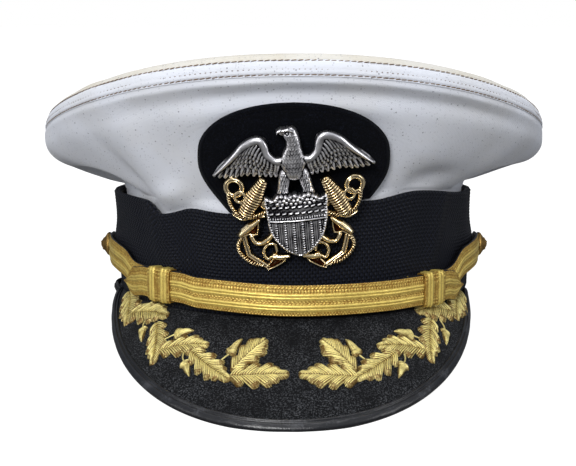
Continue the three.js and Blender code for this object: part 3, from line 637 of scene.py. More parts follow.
WEAVE, SPECKS, WEAR = weave_group(), specks_group(), wear_group()


class Finish(Wiring):
    """A material with its Principled shader, and ways to reach the surface's own places."""

    def __init__(self, name, **sockets):
        self.material = bpy.data.materials.new(name)
        self.material.use_nodes = True
        super().__init__(self.material.node_tree)
        self.tree.nodes.clear()
        self.shader = self.node("ShaderNodeBsdfPrincipled")
        for label, value in sockets.items():
            self.shader.inputs[label.replace("_", " ")].default_value = value
        self.node("ShaderNodeOutputMaterial", {"Surface": self.shader.outputs[0]})
        self.object_place = self.node("ShaderNodeTexCoord").outputs["Object"]
        self.cloth_place = self.node("ShaderNodeUVMap", uv_map="cloth").outputs[0]

    def group(self, tree, **inputs):
        return self.result("ShaderNodeGroup", inputs, node_tree=tree)

    def feed(self, label, socket):
        self.tree.links.new(socket, self.shader.inputs[label])

    def bump(self, height, distance_mm):
        """Turns a height into a normal. Distance is how deep the relief is."""
        inputs = {"Height": height, "Distance": distance_mm * MM, "Strength": 1.0}
        self.feed("Normal", self.result("ShaderNodeBump", inputs))


def colour(red, green, blue):
    """A colour from 0 to 255 steps of a screen, as light."""
    def light(step):
        share = step / 255
        return share / 12.92 if share <= 0.04045 else ((share + 0.055) / 1.055) ** 2.4
    return (light(red), light(green), light(blue), 1.0)


def cotton(name, clean, aged, aged_share):
    """White cap cloth: a fine twill with grey lint, faint stains and some yellowing."""
    f = Finish(name, Roughness=0.85, Sheen_Weight=0.15, Specular_IOR_Level=0.25)
    stain = f.between(f.noise(f.object_place, 34, 4, 0.6), 0.42, 0.68)
    aged_mask = f.sums("MULTIPLY", stain, aged_share, True)
    base = f.blend(aged_mask, clean, aged)
    lint = f.group(SPECKS, Place=f.object_place, Apart=2.8, Size=0.34, Share=0.45)
    dust = f.group(SPECKS, Place=f.object_place, Apart=1.1, Size=0.3, Share=0.4)
    base = f.blend(f.sums("MULTIPLY", lint, 0.6), base, colour(98, 98, 108))
    base = f.blend(f.sums("MULTIPLY", dust, 0.3), base, colour(140, 142, 152))
    f.feed("Base Color", base)
    weave = f.group(WEAVE, Place=f.object_place, Thread=0.45)
    fuzz = f.noise(f.object_place, 1.3, 3)
    f.bump(f.sums("ADD", f.sums("MULTIPLY", weave, 0.5), fuzz), 0.12)
    return f.material


def felt(name, dark, pale, share):
    """Dense black wool: matted fibres with pale flecks of lint."""
    f = Finish(name, Roughness=0.95, Sheen_Weight=0.03, Sheen_Roughness=0.6, Specular_IOR_Level=0.06)
    fibre = f.noise(f.object_place, 0.6, 3, 0.7)
    flecks = f.between(fibre, 0.5, 0.66)
    patches = f.between(f.noise(f.object_place, 9, 3), 0.2, 0.6)
    mask = f.sums("MULTIPLY", f.sums("MULTIPLY", flecks, patches), share, True)
    f.feed("Base Color", f.blend(mask, dark, pale))
    f.bump(f.sums("ADD", fibre, f.sums("MULTIPLY", f.noise(f.object_place, 2.6, 2), 0.5)), 0.25)
    return f.material


# The ribbed braid: how far apart its ribs and its crossing threads lie.
RIB_PITCH, CROSSING_PITCH = 1.55, 1.1


def braid(name):
    """Black ribbed braid: warp threads cross each rib, painted shade darkens its valleys, and dust greys it
    in patches.
    """
    f = Finish(name, Roughness=0.5, Sheen_Weight=0.02, Specular_IOR_Level=0.12)
    parts = f.node("ShaderNodeSeparateXYZ", {0: f.cloth_place}).outputs
    crossing = f.sums("MULTIPLY", parts[0], math.pi / (CROSSING_PITCH * MM))
    threads = f.sums("SINE", f.sums("MULTIPLY", crossing, 2))
    row = f.sums("FLOOR", f.sums("DIVIDE", parts[1], RIB_PITCH * MM))
    basket = f.sums("SINE", f.sums("ADD", crossing, f.sums("MULTIPLY", row, math.pi)))
    height = f.sums("ADD", f.sums("MULTIPLY", threads, 0.4), f.sums("MULTIPLY", basket, 0.6))
    dusty = f.group(WEAR, Place=f.object_place, Patch=26.0, Amount=0.35)
    speck = f.group(SPECKS, Place=f.object_place, Apart=3.4, Size=0.22, Share=0.3)
    # Painted shade: the base colour goes from near black in the rib valleys to grey on the crests.
    base = f.blend(f.between(height, -0.6, 0.9), colour(2, 2, 4), colour(24, 28, 40))
    base = f.blend(f.sums("MULTIPLY", dusty, 0.18), base, colour(52, 56, 68))
    base = f.blend(f.sums("MULTIPLY", speck, 0.35), base, colour(120, 122, 130))
    f.feed("Base Color", base)
    f.bump(height, 0.22)
    return f.material


def leather(name, dark, worn, amount):
    """Glossy leather with a fine grain, scuffed pale in patches."""
    f = Finish(name, Roughness=0.4, Coat_Weight=0.15, Coat_Roughness=0.3)
    scuff = f.group(WEAR, Place=f.object_place, Patch=7.0, Amount=amount)
    f.feed("Base Color", f.blend(f.sums("MULTIPLY", scuff, 0.55), dark, worn))
    f.feed("Roughness", f.between(scuff, 0, 1, 0.34, 0.62))
    cells = f.node("ShaderNodeTexVoronoi", {"Vector": f.object_place, "Scale": 1 / (0.7 * MM)})
    grain = f.sums("MULTIPLY", cells.outputs["Distance"], 0.5)
    f.bump(f.sums("ADD", grain, f.noise(f.object_place, 4, 3)), 0.12)
    return f.material


def metal_thread(name, crest, shade, roughness, wrap_mm):
    """Metal thread: bright on top and brown between the strands, where shade is painted in, with the fine
    turns of its wire.
    """
    f = Finish(name, Metallic=0.55, Roughness=roughness, Specular_IOR_Level=0.5)
    # Painted shade: the colour falls from the crest colour to the shade colour as the "crest" attribute
    # falls, down between the strands.
    high = f.node("ShaderNodeAttribute", attribute_name="crest").outputs["Fac"]
    tone = f.sums("ADD", f.noise(f.object_place, 2.4, 3), f.noise(f.object_place, 0.6, 2))
    lit = f.sums("ADD", high, f.sums("MULTIPLY", f.sums("SUBTRACT", tone, 1.0), 0.9), True)
    f.feed("Base Color", f.blend(lit, shade, crest))
    turns = f.noise(f.object_place, wrap_mm, 2, 0.6)
    f.feed("Roughness", f.between(turns, 0.3, 0.7, roughness - 0.1, roughness + 0.15))
    f.bump(turns, 0.12)
    return f.material


def cast_metal(name, bright, dark, roughness, amount):
    """Struck metal: bright on its crests, where it is rubbed, and dark in the hollows, where tarnish stays
    and shade is painted in.
    """
    f = Finish(name, Metallic=1.0, Roughness=roughness)
    high = f.node("ShaderNodeAttribute", attribute_name="crest").outputs["Fac"]
    patch = f.noise(f.object_place, 3.2, 4)
    uneven = f.sums("MULTIPLY", f.sums("SUBTRACT", patch, 0.5), amount)
    # Partly tarnish and partly painted shade: the colour darkens in the hollows of the relief.
    rubbed_and_lit = f.between(f.sums("ADD", high, uneven), 0.34, 0.86)
    f.feed("Base Color", f.blend(rubbed_and_lit, dark, bright))
    f.feed("Roughness", f.between(rubbed_and_lit, 0, 1, roughness + 0.2, roughness))
    f.bump(f.noise(f.object_place, 0.5, 2), 0.03)
    return f.material


COTTON = cotton("crown_cloth", colour(220, 223, 231), colour(206, 204, 200), 0.38)
COTTON_EDGE = cotton("crown_edge_cloth", colour(214, 211, 203), colour(204, 196, 178), 0.8)
LINING = cotton("crown_lining", colour(206, 204, 198), colour(188, 180, 164), 0.8)
BRAID = braid("ribbed_braid")
FELT_PATCH = felt("patch_felt", colour(2, 3, 7), colour(30, 34, 48), 0.5)
FELT_VISOR = felt("visor_felt", colour(12, 13, 15), colour(104, 106, 110), 0.6)
EDGE_LEATHER = leather("edge_leather", colour(17, 18, 22), colour(104, 106, 112), 0.5)
STRAP_LEATHER = leather("strap_leather", colour(14, 14, 16), colour(52, 52, 56), 0.3)
SWEATBAND = leather("sweatband_leather", colour(38, 26, 20), colour(96, 74, 58), 0.4)
# The gold threads' second colour is the painted shade between their strands.
GOLD_LACE = metal_thread("gold_lace_thread", colour(240, 214, 116), colour(158, 116, 44), 0.4, 0.5)
GOLD_THREAD = metal_thread("embroidery_thread", colour(250, 236, 158), colour(116, 86, 38), 0.42, 0.4)
# The cast metals' dark colours are tarnish with painted shade in the hollows.
SILVER = cast_metal("silver_cast_metal", colour(238, 236, 238), colour(24, 22, 26), 0.3, 0.6)
GOLD = cast_metal("gold_cast_metal", colour(255, 232, 184), colour(62, 28, 10), 0.2, 0.5)
BRASS = cast_metal("button_brass_metal", colour(208, 168, 96), colour(70, 48, 26), 0.4, 0.7)
OCHRE = cotton("ochre_thread", colour(122, 100, 78), colour(84, 62, 46), 1.0)


# Head band, crown and patch


def ripple(turn, height, size):
    """Soft unevenness of sewn cloth, the same at every run."""
    waves = [(7, 0.05, 0.3), (11, -0.09, 1.9), (17, 0.13, 4.0), (23, 0.21, 2.2)]
    total = 0
    for per_turn, per_mm, start in waves:
        total = total + np.sin(np.radians(turn) * per_turn + height * per_mm + start) / len(waves)
    return total * size


def rib_relief(rib, depth):
    """Round ribs with sharp valleys: rib counts ribs across the braid."""
    return depth * (1 - (2 * (rib % 1) - 1) ** 2)


# Creases where the braid bends at the front corners: turn at the top, turn at the foot, push, width.
CREASES = [(-45, -37, 0.9, 3.2), (-50, -42, -0.5, 4), (50, 41, 0.9, 3.2), (56, 46, -0.4, 4)]


def hatband_stand(turn, height, top):
    at_sides = smooth((np.abs(turn) - 62) / 16) * smooth((118 - np.abs(turn)) / 16)
    bulge = BAND["foot_bulge"] * at_sides * hump(height - 20, 9)
    stand = band_stand(turn, height) + bulge
    for at_top, at_foot, push, width in CREASES:
        middle = lerp(at_foot, at_top, height / top)
        stand = stand + push * smooth(height / top * 1.6) * hump(turn - middle, width)
    return stand


# Soft creases of the braid: turn, push outward, half width in degrees, lean in degrees to the top.
BAND_CREASES = [
    (-35, 1.0, 2.2, -7), (-30, -0.7, 3, -6), (-22, 0.5, 2.5, -4), (41, 1.1, 2.2, 9), (46, -0.7, 3, 9),
    (31, 0.5, 3, 5), (68, 0.6, 5, -6), (-70, 0.6, 5, 6), (120, 0.5, 5, 5), (-130, 0.5, 5, -5),
]


def band_crease(turn, level):
    push = 0
    for at, most, half_width, lean in BAND_CREASES:
        push = push + most * hump(turn - at - lean * (level - 0.3), half_width)
    return push * smooth(level / 0.5)


# The braid's ribs: how many, sections to each, their depth, and how far their valleys are sunk.
RIBS = {"count": 30, "samples": 3, "depth": 0.62, "sunk": 0.42}


def make_hatband():
    turn = turns_round(420)[:, None]
    top = read(BAND_EDGE, BAND_TOP, turn)
    level = spaced(0, 1, RIBS["count"] * RIBS["samples"] + 1)[None, :]
    height = top * level
    stand = hatband_stand(turn, height, top) + rib_relief(level * RIBS["count"], RIBS["depth"])
    stand = stand - RIBS["sunk"] + band_crease(turn, level)
    outer = beside_band(turn, height, np.maximum(stand, 0))
    lip = [(0.35, 0.5), (0.45, 1.4), (0.1, 2.4)]
    top_stand = hatband_stand(turn, top, top) + band_crease(turn, 1.0)
    edge = [beside_band(turn, top + up, top_stand - inward) for up, inward in lip]
    inner_levels = spaced(0.98, 0, 8)[None, :]
    inner_height = top * inner_levels
    inner = beside_band(turn, inner_height, band_stand(turn, inner_height) - BAND["wall"])
    sections = np.concatenate([outer] + edge + [inner], axis=1)
    outer_count = level.size + len(lip)
    finish = np.array([0] * outer_count + [1] * (sections.shape[1] - outer_count))
    shape = Shape().loft(sections, ring=True, finish=finish)
    return finish_piece(shape.piece("ribbed_head_band", BRAID, SWEATBAND), "ribbed_band", "hatband")


# Soft hollows and ridges of the worn cover: turn, level, push outward, half width in degrees, reach
# up the wall, lean in degrees from the bottom to the top.
WORN_FOLDS = [
    (0, 0.79, -2.2, 34, 0.07, 0), (0, 0.93, 0.9, 60, 0.05, 0), (40, 0.8, -0.9, 16, 0.07, 60),
    (-36, 0.48, 1.9, 4.5, 0.32, 4), (-44, 0.5, -1.2, 5, 0.3, 0), (-26, 0.5, -0.7, 5, 0.14, 20),
    (-34, 0.2, 1.8, 5, 0.09, 0), (-24, 0.12, -0.9, 4, 0.1, 0), (-97, 0.72, -0.8, 9, 0.04, 200),
    (41, 0.19, -2.4, 7, 0.12, 6), (32, 0.45, 1.3, 7, 0.2, -8), (55, 0.4, 1.3, 5, 0.25, 0),
    (-74, 0.6, 1.6, 12, 0.16, 0), (84, 0.62, 1.6, 12, 0.14, 0),
    (110, 0.5, -1.4, 9, 0.3, 14), (128, 0.4, 1.2, 8, 0.3, -10), (165, 0.5, -1.5, 10, 0.3, 12),
    (-116, 0.45, 1.3, 9, 0.3, 10), (-150, 0.5, -1.4, 10, 0.3, -14), (-172, 0.3, 1.2, 8, 0.2, 8),
]
# Where the cloth tucks in above the band's corners: turn, level, half width in degrees, reach, depth.
TUCKS = [(-72, 0.1, 19, 0.36, 4.2), (77, 0.08, 19, 0.38, 4.6)]
# A tuck's soft rim: where it ends and how wide it is, as shares of the tuck's own size.
TUCK_RIM = {"end": 1.1, "width": 0.42}
# The hollow round the patch: its half width, how far it reaches above and below the patch's middle,
# its depth, how far in from its edge it has that depth, and the level where it fades out.
DISH = {"half_width": 47, "above": 31, "below": 74, "depth": 1.4, "reach": 12, "top": 0.72}


def worn_cloth(turn, share):
    """How far the worn cloth stands outside the plain wall, none at the foot and the rim."""
    push = ripple(turn, share * 50, 0.4)
    for at, level, most, half_width, reach, lean in WORN_FOLDS:
        off = (turn - at - lean * (share - level)) / half_width
        push = push + most * np.exp(-(off**2) - ((share - level) / reach) ** 2)
    for at, level, half_width, reach, depth in TUCKS:
        away = (np.abs((turn - at) / half_width) ** 3 + np.abs((share - level) / reach) ** 3) ** (1 / 3)
        push = push - depth * smooth((TUCK_RIM["end"] - away) / TUCK_RIM["width"])
    here = plain_crown_point(turn, share)
    rise = here[..., 2] - PATCH["middle_height"]
    half_height = np.where(rise > 0, DISH["above"], DISH["below"])
    from_edge = 1 - np.hypot(here[..., 0] / DISH["half_width"], rise / half_height)
    dish = np.clip(from_edge * DISH["half_width"] / DISH["reach"], 0, 1) * (np.abs(turn) < 60)
    push = push - DISH["depth"] * dish * smooth((DISH["top"] - share) / 0.12)
    return push * smooth((1 - share) / 0.1) * smooth(share / 0.1)


def make_crown_side():
    turn = turns_round(480)[:, None]
    share = spaced(0, 1, 72)[None, :]
    outer = crown_point(turn, share, -worn_cloth(turn, share))
    bottom = read(BAND_EDGE, BAND_TOP, turn)
    inset = -BAND["wall"] - GAP
    hem = beside_band(turn, CROWN["hem_bottom"], inset)
    turned_in = welt_point(turn, -CROWN["wall"], 0)
    inside = spaced(0.94, 0.08, 14)[None, :]
    inner = crown_point(turn, inside, CROWN["wall"] - worn_cloth(turn, inside))
    bend = beside_band(turn, bottom + CROWN["hem_bend"], inset - CROWN["wall"])
    foot = beside_band(turn, CROWN["hem_bottom"], inset - CROWN["wall"])
    sections = np.concatenate([hem, outer, turned_in, inner, bend, foot], axis=1)
    finish = np.array([0] * (1 + share.size) + [1] * 15 + [2] * 2)
    shape = Shape().loft(sections, ring=True, finish=finish)
    made = shape.piece("crown_cover", COTTON, LINING, SWEATBAND)
    return finish_piece(made, "crown_cover", "crown_side")


# The rows of stitches on the welt, as shares of the way up its face.
LOWER_STITCHES, MIDDLE_STITCHES, UPPER_STITCHES = 0.02, 0.24, 0.55
# The welt's foot over the side wall and its back inside the crown: steps outward and upward.
WELT_FOOT = [(-0.3, -0.1), (0.1, -0.3), (0.25, -0.1)]
WELT_BACK = [(-6, 6.6), (-2.2, 0.3)]


def welt_step(share):
    """Steps outward and upward along the welt's face, from its foot at share 0 to the top at 1."""
    steps = along_knots(np.broadcast_to(np.array(WELT_STEPS), share.shape + (len(WELT_STEPS), 2)), share)
    return steps[..., 0], steps[..., 1]


def welt_surface(turn, share, lift=0.0):
    turn, share = np.broadcast_arrays(np.asarray(turn, float), np.asarray(share, float))
    outward, upward = welt_step(share)
    return welt_point(turn, outward + lift * (1 - share), upward + lift * share)


def seam_dip(share, turn):
    """Cloth drawn in along the stitch lines, a little more at each stitch."""
    dip = 0
    for line, depth in ((LOWER_STITCHES, 0.4), (UPPER_STITCHES, 0.35), (MIDDLE_STITCHES, 0.12)):
        pucker = 1 + 0.35 * np.sin(np.radians(turn) * 150)
        dip = dip + depth * pucker * hump(share - line, 0.05)
    return dip


def make_crown_welt():
    turn = turns_round(480)[:, None]
    share = spaced(0, 1, 34)[None, :]
    between_rows = (share - LOWER_STITCHES) / (UPPER_STITCHES - LOWER_STITCHES)
    swell = 0.3 * np.sin(np.pi * np.clip(between_rows, 0, 1))
    rise = ripple(turn * 1.3, share * 20, 0.35) * smooth((1 - share) / 0.15)
    outer = welt_surface(turn, share, swell + rise - seam_dip(share, turn))
    back = [welt_point(turn, outward, upward) for outward, upward in WELT_BACK]
    foot = [welt_point(turn, outward, upward) for outward, upward in WELT_FOOT]
    sections = np.concatenate(foot + [outer] + back, axis=1)
    finish = np.array([0] * len(foot) + list((share[0] >= UPPER_STITCHES).astype(int)) + [1, 0])
    shape = Shape().loft(sections, ring=True, finish=finish)
    return finish_piece(shape.piece("crown_edge", COTTON, COTTON_EDGE), "crown_panel", "crown_welt")


def make_crown_top():
    turn = turns_round(240)[:, None]
    share = spaced(0, 1, 36)[None, :]
    slack = 0.5 * np.sin(np.radians(turn) * 9 + 1) * share**4 * smooth((1 - share) / 0.08)
    upper = crown_top_point(turn, share, -slack)
    lower = crown_top_point(turn, spaced(1, 0, 12)[None, :], TOP["wall"])
    sections = np.concatenate([upper, lower], axis=1)
    finish = np.array([0] * share.size + [1] * 12)
    shape = Shape().loft(sections, ring=True, finish=finish)
    return finish_piece(shape.piece("crown_top_panel", COTTON, LINING), "crown_panel", "crown_top")


def distance_to(outline, places):
    """Shortest distance from each place to the outline's segments."""
    best = np.full(places.shape[:-1], 1e9)
    for start, end in zip(outline, np.roll(outline, -1, axis=0)):
        along = end - start
        share = np.clip(((places - start) @ along) / max(along @ along, 1e-12), 0, 1)
        gap = np.linalg.norm(places - start - share[..., None] * along, axis=-1)
        best = np.minimum(best, gap)
    return best


def make_patch():
    first, last = PATCH_OUTLINE[0][0], PATCH_OUTLINE[-1][0]
    share = spaced(0, 1, 90)[:, None]
    side = np.sin(spaced(-1, 1, 91) * math.pi / 2)[None, :]
    level = first + (last - first) * np.sin(share * math.pi / 2)
    outline = polyline(PATCH_OUTLINE, steps=10)
    half_width = np.interp(level, outline[:, 0], outline[:, 1])
    across = side * half_width
    turn = np.degrees(np.arcsin(np.clip(across / BAND["half_width"], -1, 1)))
    band_top = read(BAND_EDGE, BAND_TOP, turn) + GAP
    height = np.maximum(PATCH["middle_height"] + level, band_top + share * PATCH["foot_step"])
    face = patch_point(across, height, 0)
    flat = np.stack([across, height], axis=-1)
    rim = np.concatenate([flat[0], flat[1:, -1], flat[-1, ::-1], flat[:0:-1, 0]])
    from_edge = distance_to(rim, flat)
    thin = hump(from_edge, 0.55) * 1.1
    cords = 0.4 * hump(from_edge - 1.5, 0.45) + 0.3 * hump(from_edge - 2.9, 0.4)
    face[..., 1] += thin - cords
    back = patch_point(across, height, PATCH["thickness"])[:, ::-1]
    shape = Shape().loft(np.concatenate([face, back], axis=1))
    return finish_piece(shape.piece("badge_patch_felt", FELT_PATCH), "black_felt", "badge_patch")


# Visor


def make_visor():
    turn = spaced(VISOR["first_turn"], VISOR["last_turn"], 200)
    edge, root, root_turn, normal, down = visor_frame(turn)
    tuck = -band_normal(root_turn) * VISOR["tuck"]
    under = root - normal * VISOR["thickness"] + tuck
    under[:, 2] = -GAP - VISOR["thickness"]
    shares = spaced(0, 1, 48)[None, :]
    face = visor_point(turn[:, None], shares)
    back = visor_point(turn[:, None], shares[:, ::-4], VISOR["thickness"])
    sections = np.concatenate([(root + tuck)[:, None], face, back, under[:, None]], axis=1)
    finish = np.array([0] * (shares.size + 1) + [1] * (sections.shape[1] - shares.size - 1))
    shape = Shape().loft(sections, finish=finish)
    return finish_piece(shape.piece("visor_felt", FELT_VISOR, STRAP_LEATHER), "black_felt", "visor")


# The edge leather's section: outward from the outline and up from the visor's underside. A thin
# piping lies along the felt, then a groove, a stitched ridge and the roll round the edge.
BINDING_SECTION = [
    (-4.4, 2.25), (-4.4, 2.7), (-4.15, 2.98), (-3.8, 2.98), (-3.55, 2.7), (-3.3, 2.36),
    (-3.0, 2.38), (-2.75, 2.72), (-2.45, 2.95), (-2.1, 2.9), (-1.6, 2.72), (-1.0, 2.55),
    (-0.45, 2.2), (-0.1, 1.7), (0, 1.2), (-0.1, 0.7), (-0.45, 0.25), (-1.0, 0), (-4.4, 0),
    (-4.4, 0.5), (-1.5, 0.5), (-1.5, 2.25),
]


def clear_of_band(points):
    """Moves what would reach into the head band out to its side."""
    wide, long = BAND["half_width"] + GAP, BAND["half_length"] + GAP
    reach = np.hypot(points[..., 0] / wide, points[..., 1] / long)
    inside = (reach < 1) & (points[..., 2] > -GAP)
    scale = np.where(inside, 1 / np.maximum(reach, 1e-6), 1)
    return points * np.stack([scale, scale, np.ones_like(scale)], axis=-1)


def make_binding():
    turn = spaced(BINDING["first_turn"], BINDING["last_turn"], 320)
    edge, root, root_turn, normal, down = visor_frame(turn)
    section = np.array(BINDING_SECTION)
    outward, upward = section[None, :, 0], section[None, :, 1]
    on_top = (upward > 1) & (outward > -3)
    wobble = ripple(turn[:, None] * 3, outward * 9, 0.16) * on_top
    points = edge[:, None] + down[:, None] * outward[..., None]
    points = points + normal[:, None] * (upward + wobble)[..., None]
    shape = Shape().loft(clear_of_band(points))
    return finish_piece(shape.piece("visor_edge_leather", EDGE_LEATHER), "edge_leather", "visor_binding")


# Chin strap. The lace's rows from its upper to its lower edge: where a row ends as a share of the
# width, its height in millimetres, and how it is woven.
LACE_ROWS = [
    (0.05, 0.34, "bead"), (0.15, 0.3, "chain"), (0.27, 0.36, "bead"), (0.38, 0.62, "cord"),
    (0.47, 0.5, "cord"), (0.51, 0.3, "cord"), (0.57, 0.4, "chain"), (0.64, 0.4, "chain"),
    (0.75, 0.62, "cord"), (0.84, 0.5, "cord"), (0.88, 0.3, "cord"), (0.95, 0.32, "bead"),
    (1.0, 0.34, "bead"),
]


def lace_relief(share, along):
    """Height of the woven lace: share runs from its upper edge, along is in millimetres."""
    relief = np.zeros(np.broadcast(share, along).shape)
    start = 0
    for number, (end, height, kind) in enumerate(LACE_ROWS):
        place = np.clip((share - start) / (end - start), 0, 1)
        mound = np.sqrt(np.maximum(1 - (2 * place - 1) ** 2, 0))
        if kind == "bead":
            mound = mound * (0.55 + 0.45 * np.cos(2 * np.pi * (along / 1.25 + 0.5 * number)))
        if kind == "chain":
            lean = 0.6 if number % 2 else -0.6
            mound = mound * (0.6 + 0.4 * np.cos(2 * np.pi * (along / 1.5 + lean * place)))
        inside = (share >= start) & (share <= end)
        relief = np.where(inside, height * mound, relief)
        start = end
    return relief


def strap_sections(turn, height, width, stand, side=1):
    """Lace on a thin leather back: the section runs up the back and down the woven face."""
    turn = side * turn
    step = np.linalg.norm(np.diff(beside_band(turn, 0, stand), axis=0, prepend=np.nan), axis=-1)
    along = np.cumsum(np.nan_to_num(step))[:, None]
    share = spaced(0, 1, 66)[None, :]
    half = STRAP["thickness"] / 2
    relief = lace_relief(share, along) * np.minimum(width / 6, 1)[:, None]
    bow = 0.25 * np.sin(np.pi * share)
    out = stand[:, None] + half - 0.55 + relief + bow
    up = height[:, None] + width[:, None] * (0.5 - share)
    face = beside_band(turn[:, None], up, out)
    back_share = spaced(1, 0, 5)[None, :]
    back_up = height[:, None] + (width[:, None] + 0.5) * (0.5 - back_share)
    back = beside_band(turn[:, None], back_up, (stand - half)[:, None])
    lower = beside_band(turn[:, None], back_up[:, :1], (stand + half - 0.75)[:, None])
    upper = beside_band(turn[:, None], back_up[:, -1:], (stand + half - 0.75)[:, None])
    sections = np.concatenate([face, lower, back, upper], axis=1)
    finish = np.array([0] * (share.size - 1) + [1] * (sections.shape[1] - share.size + 1))
    # The lace's height becomes its crest, which the thread finish paints dark when low: painted shade between
    # the rows.
    crest = np.zeros(sections.shape[:2])
    crest[:, : share.size] = relief / 0.5
    return sections, finish, crest


def make_strap(name, node, turn, height, width, stand, side=1):
    sections, finish, crest = strap_sections(turn, height, width, stand, side)
    shape = Shape()
    shape.loft(sections, finish=finish)
    shape.mark(crest)
    return finish_piece(shape.piece(name, GOLD_LACE, STRAP_LEATHER), "gold_lace", node)


def make_front_strap():
    first, last = FRONT_STRAP[0][0], FRONT_STRAP[-1][0]
    turn = spaced(first, last, 640)
    stand = np.full(turn.shape, float(FRONT_STAND))
    return make_strap(
        "chin_strap_front_lace", "chin_strap_front",
        turn, read(FRONT_STRAP, 1, turn), read(FRONT_STRAP, 2, turn), stand,
    )


def make_side_strap(side_name, slide_height, side):
    turn = spaced(SIDE_STRAP[0][0], SIDE_STRAP[-1][0], 330)
    free = smooth((turn - 47) / 13)
    height = lerp(slide_height, read(SIDE_STRAP, 1, turn), free)
    return make_strap(
        f"chin_strap_{side_name}_lace", f"chin_strap_{side_name}",
        turn, height, read(SIDE_STRAP, 3, turn), read(SIDE_STRAP, 2, turn), side,
    )


# The slide's woven rows across its length, as the lace's rows.
SLIDE_ROWS = [
    (0.1, 0.35, "bead"), (0.24, 0.5, "cord"), (0.36, 0.62, "cord"), (0.5, 0.32, "chain"),
    (0.62, 0.4, "chain"), (0.76, 0.62, "cord"), (0.9, 0.5, "cord"), (1.0, 0.35, "bead"),
]


def slide_relief(share, along):
    relief = np.zeros(np.broadcast(share, along).shape)
    start = 0
    for end, height, kind in SLIDE_ROWS:
        place = np.clip((share - start) / (end - start), 0, 1)
        mound = np.sqrt(np.maximum(1 - (2 * place - 1) ** 2, 0))
        if kind != "cord":
            mound = mound * (0.6 + 0.4 * np.cos(2 * np.pi * along / 1.4))
        relief = np.where((share >= start) & (share <= end), height * mound, relief)
        start = end
    return relief


def make_slide(side_name, turn, height):
    inner = STRAP["stand"] - STRAP["thickness"] / 2 - SLIDE["play"]
    outer = FRONT_STAND + STRAP["thickness"] / 2 + SLIDE["play"]
    middle = (inner + outer) / 2
    half_height = STRAP["width"] / 2 + SLIDE["play"]
    half_depth = (outer - inner) / 2
    here = beside_band(np.array([turn, turn + 1]), height, 0)
    half_turn = SLIDE["length"] / 2 / np.linalg.norm(here[1] - here[0])
    angle = np.radians(spaced(0, 360, 121)[:-1])
    up = signed_power(np.sin(angle), SLIDE["squareness"])[:, None]
    out = signed_power(np.cos(angle), SLIDE["squareness"])[:, None]
    girth = np.cumsum(np.hypot(np.gradient(up[:, 0]) * half_height, np.gradient(out[:, 0]) * half_depth))
    share = spaced(0, 1, 53)[None, :]
    wall = SLIDE["skin"] + slide_relief(share, girth[:, None])

    def loop(offset_share, grow):
        return beside_band(
            turn + half_turn * (2 * offset_share - 1),
            height + up * (half_height + grow),
            middle + out * (half_depth + grow),
        )

    outside = loop(share, wall)
    inside = loop(spaced(1, 0, 3)[None, :], 0 * angle[:, None])
    shape = Shape().loft(np.concatenate([outside, inside], axis=1), ring=True)
    # The slide's height becomes its crest, which the thread finish paints dark when low: painted shade
    # between the cords.
    crest = np.zeros((len(angle), share.size + 3))
    crest[:, : share.size] = slide_relief(share, girth[:, None]) / 0.5
    shape.mark(crest)
    made = shape.piece(f"strap_slide_{side_name}", GOLD_LACE)
    return finish_piece(made, "gold_lace", f"keeper_{side_name}")


# Threads, cords and stitches: drawn as lines, then given their roundness by node trees.


def close_tree(wiring, geometry, finish):
    """The end of a geometry tree: real, dressed and smooth."""
    real = wiring.result("GeometryNodeRealizeInstances", {"Geometry": geometry})
    dressed = wiring.result("GeometryNodeSetMaterial", {"Geometry": real, "Material": finish})
    smooth_shade = wiring.result("GeometryNodeSetShadeSmooth", {"Geometry": dressed})
    wiring.node("NodeGroupOutput", {"Geometry": smooth_shade})


def round_thread_tree():
    """Lines to round threads: each line's own thickness, and how many sides a thread has."""
    sockets = [("Geometry", GEOMETRY, None), ("Sides", COUNT, None), ("Finish", MATERIAL, None)]
    tree, w, start = new_tree("round_threads", GEOMETRY_TREE, sockets, "Geometry", GEOMETRY)
    curve = w.result("GeometryNodeMeshToCurve", {"Mesh": start["Geometry"]})
    circle = {"Resolution": start["Sides"], "Radius": 1.0}
    section = w.result("GeometryNodeCurvePrimitiveCircle", circle)
    thickness = w.result("GeometryNodeInputNamedAttribute", {"Name": "thickness"}, data_type="FLOAT")
    inputs = {"Curve": curve, "Profile Curve": section, "Scale": thickness, "Fill Caps": True}
    close_tree(w, w.result("GeometryNodeCurveToMesh", inputs), start["Finish"])
    return tree


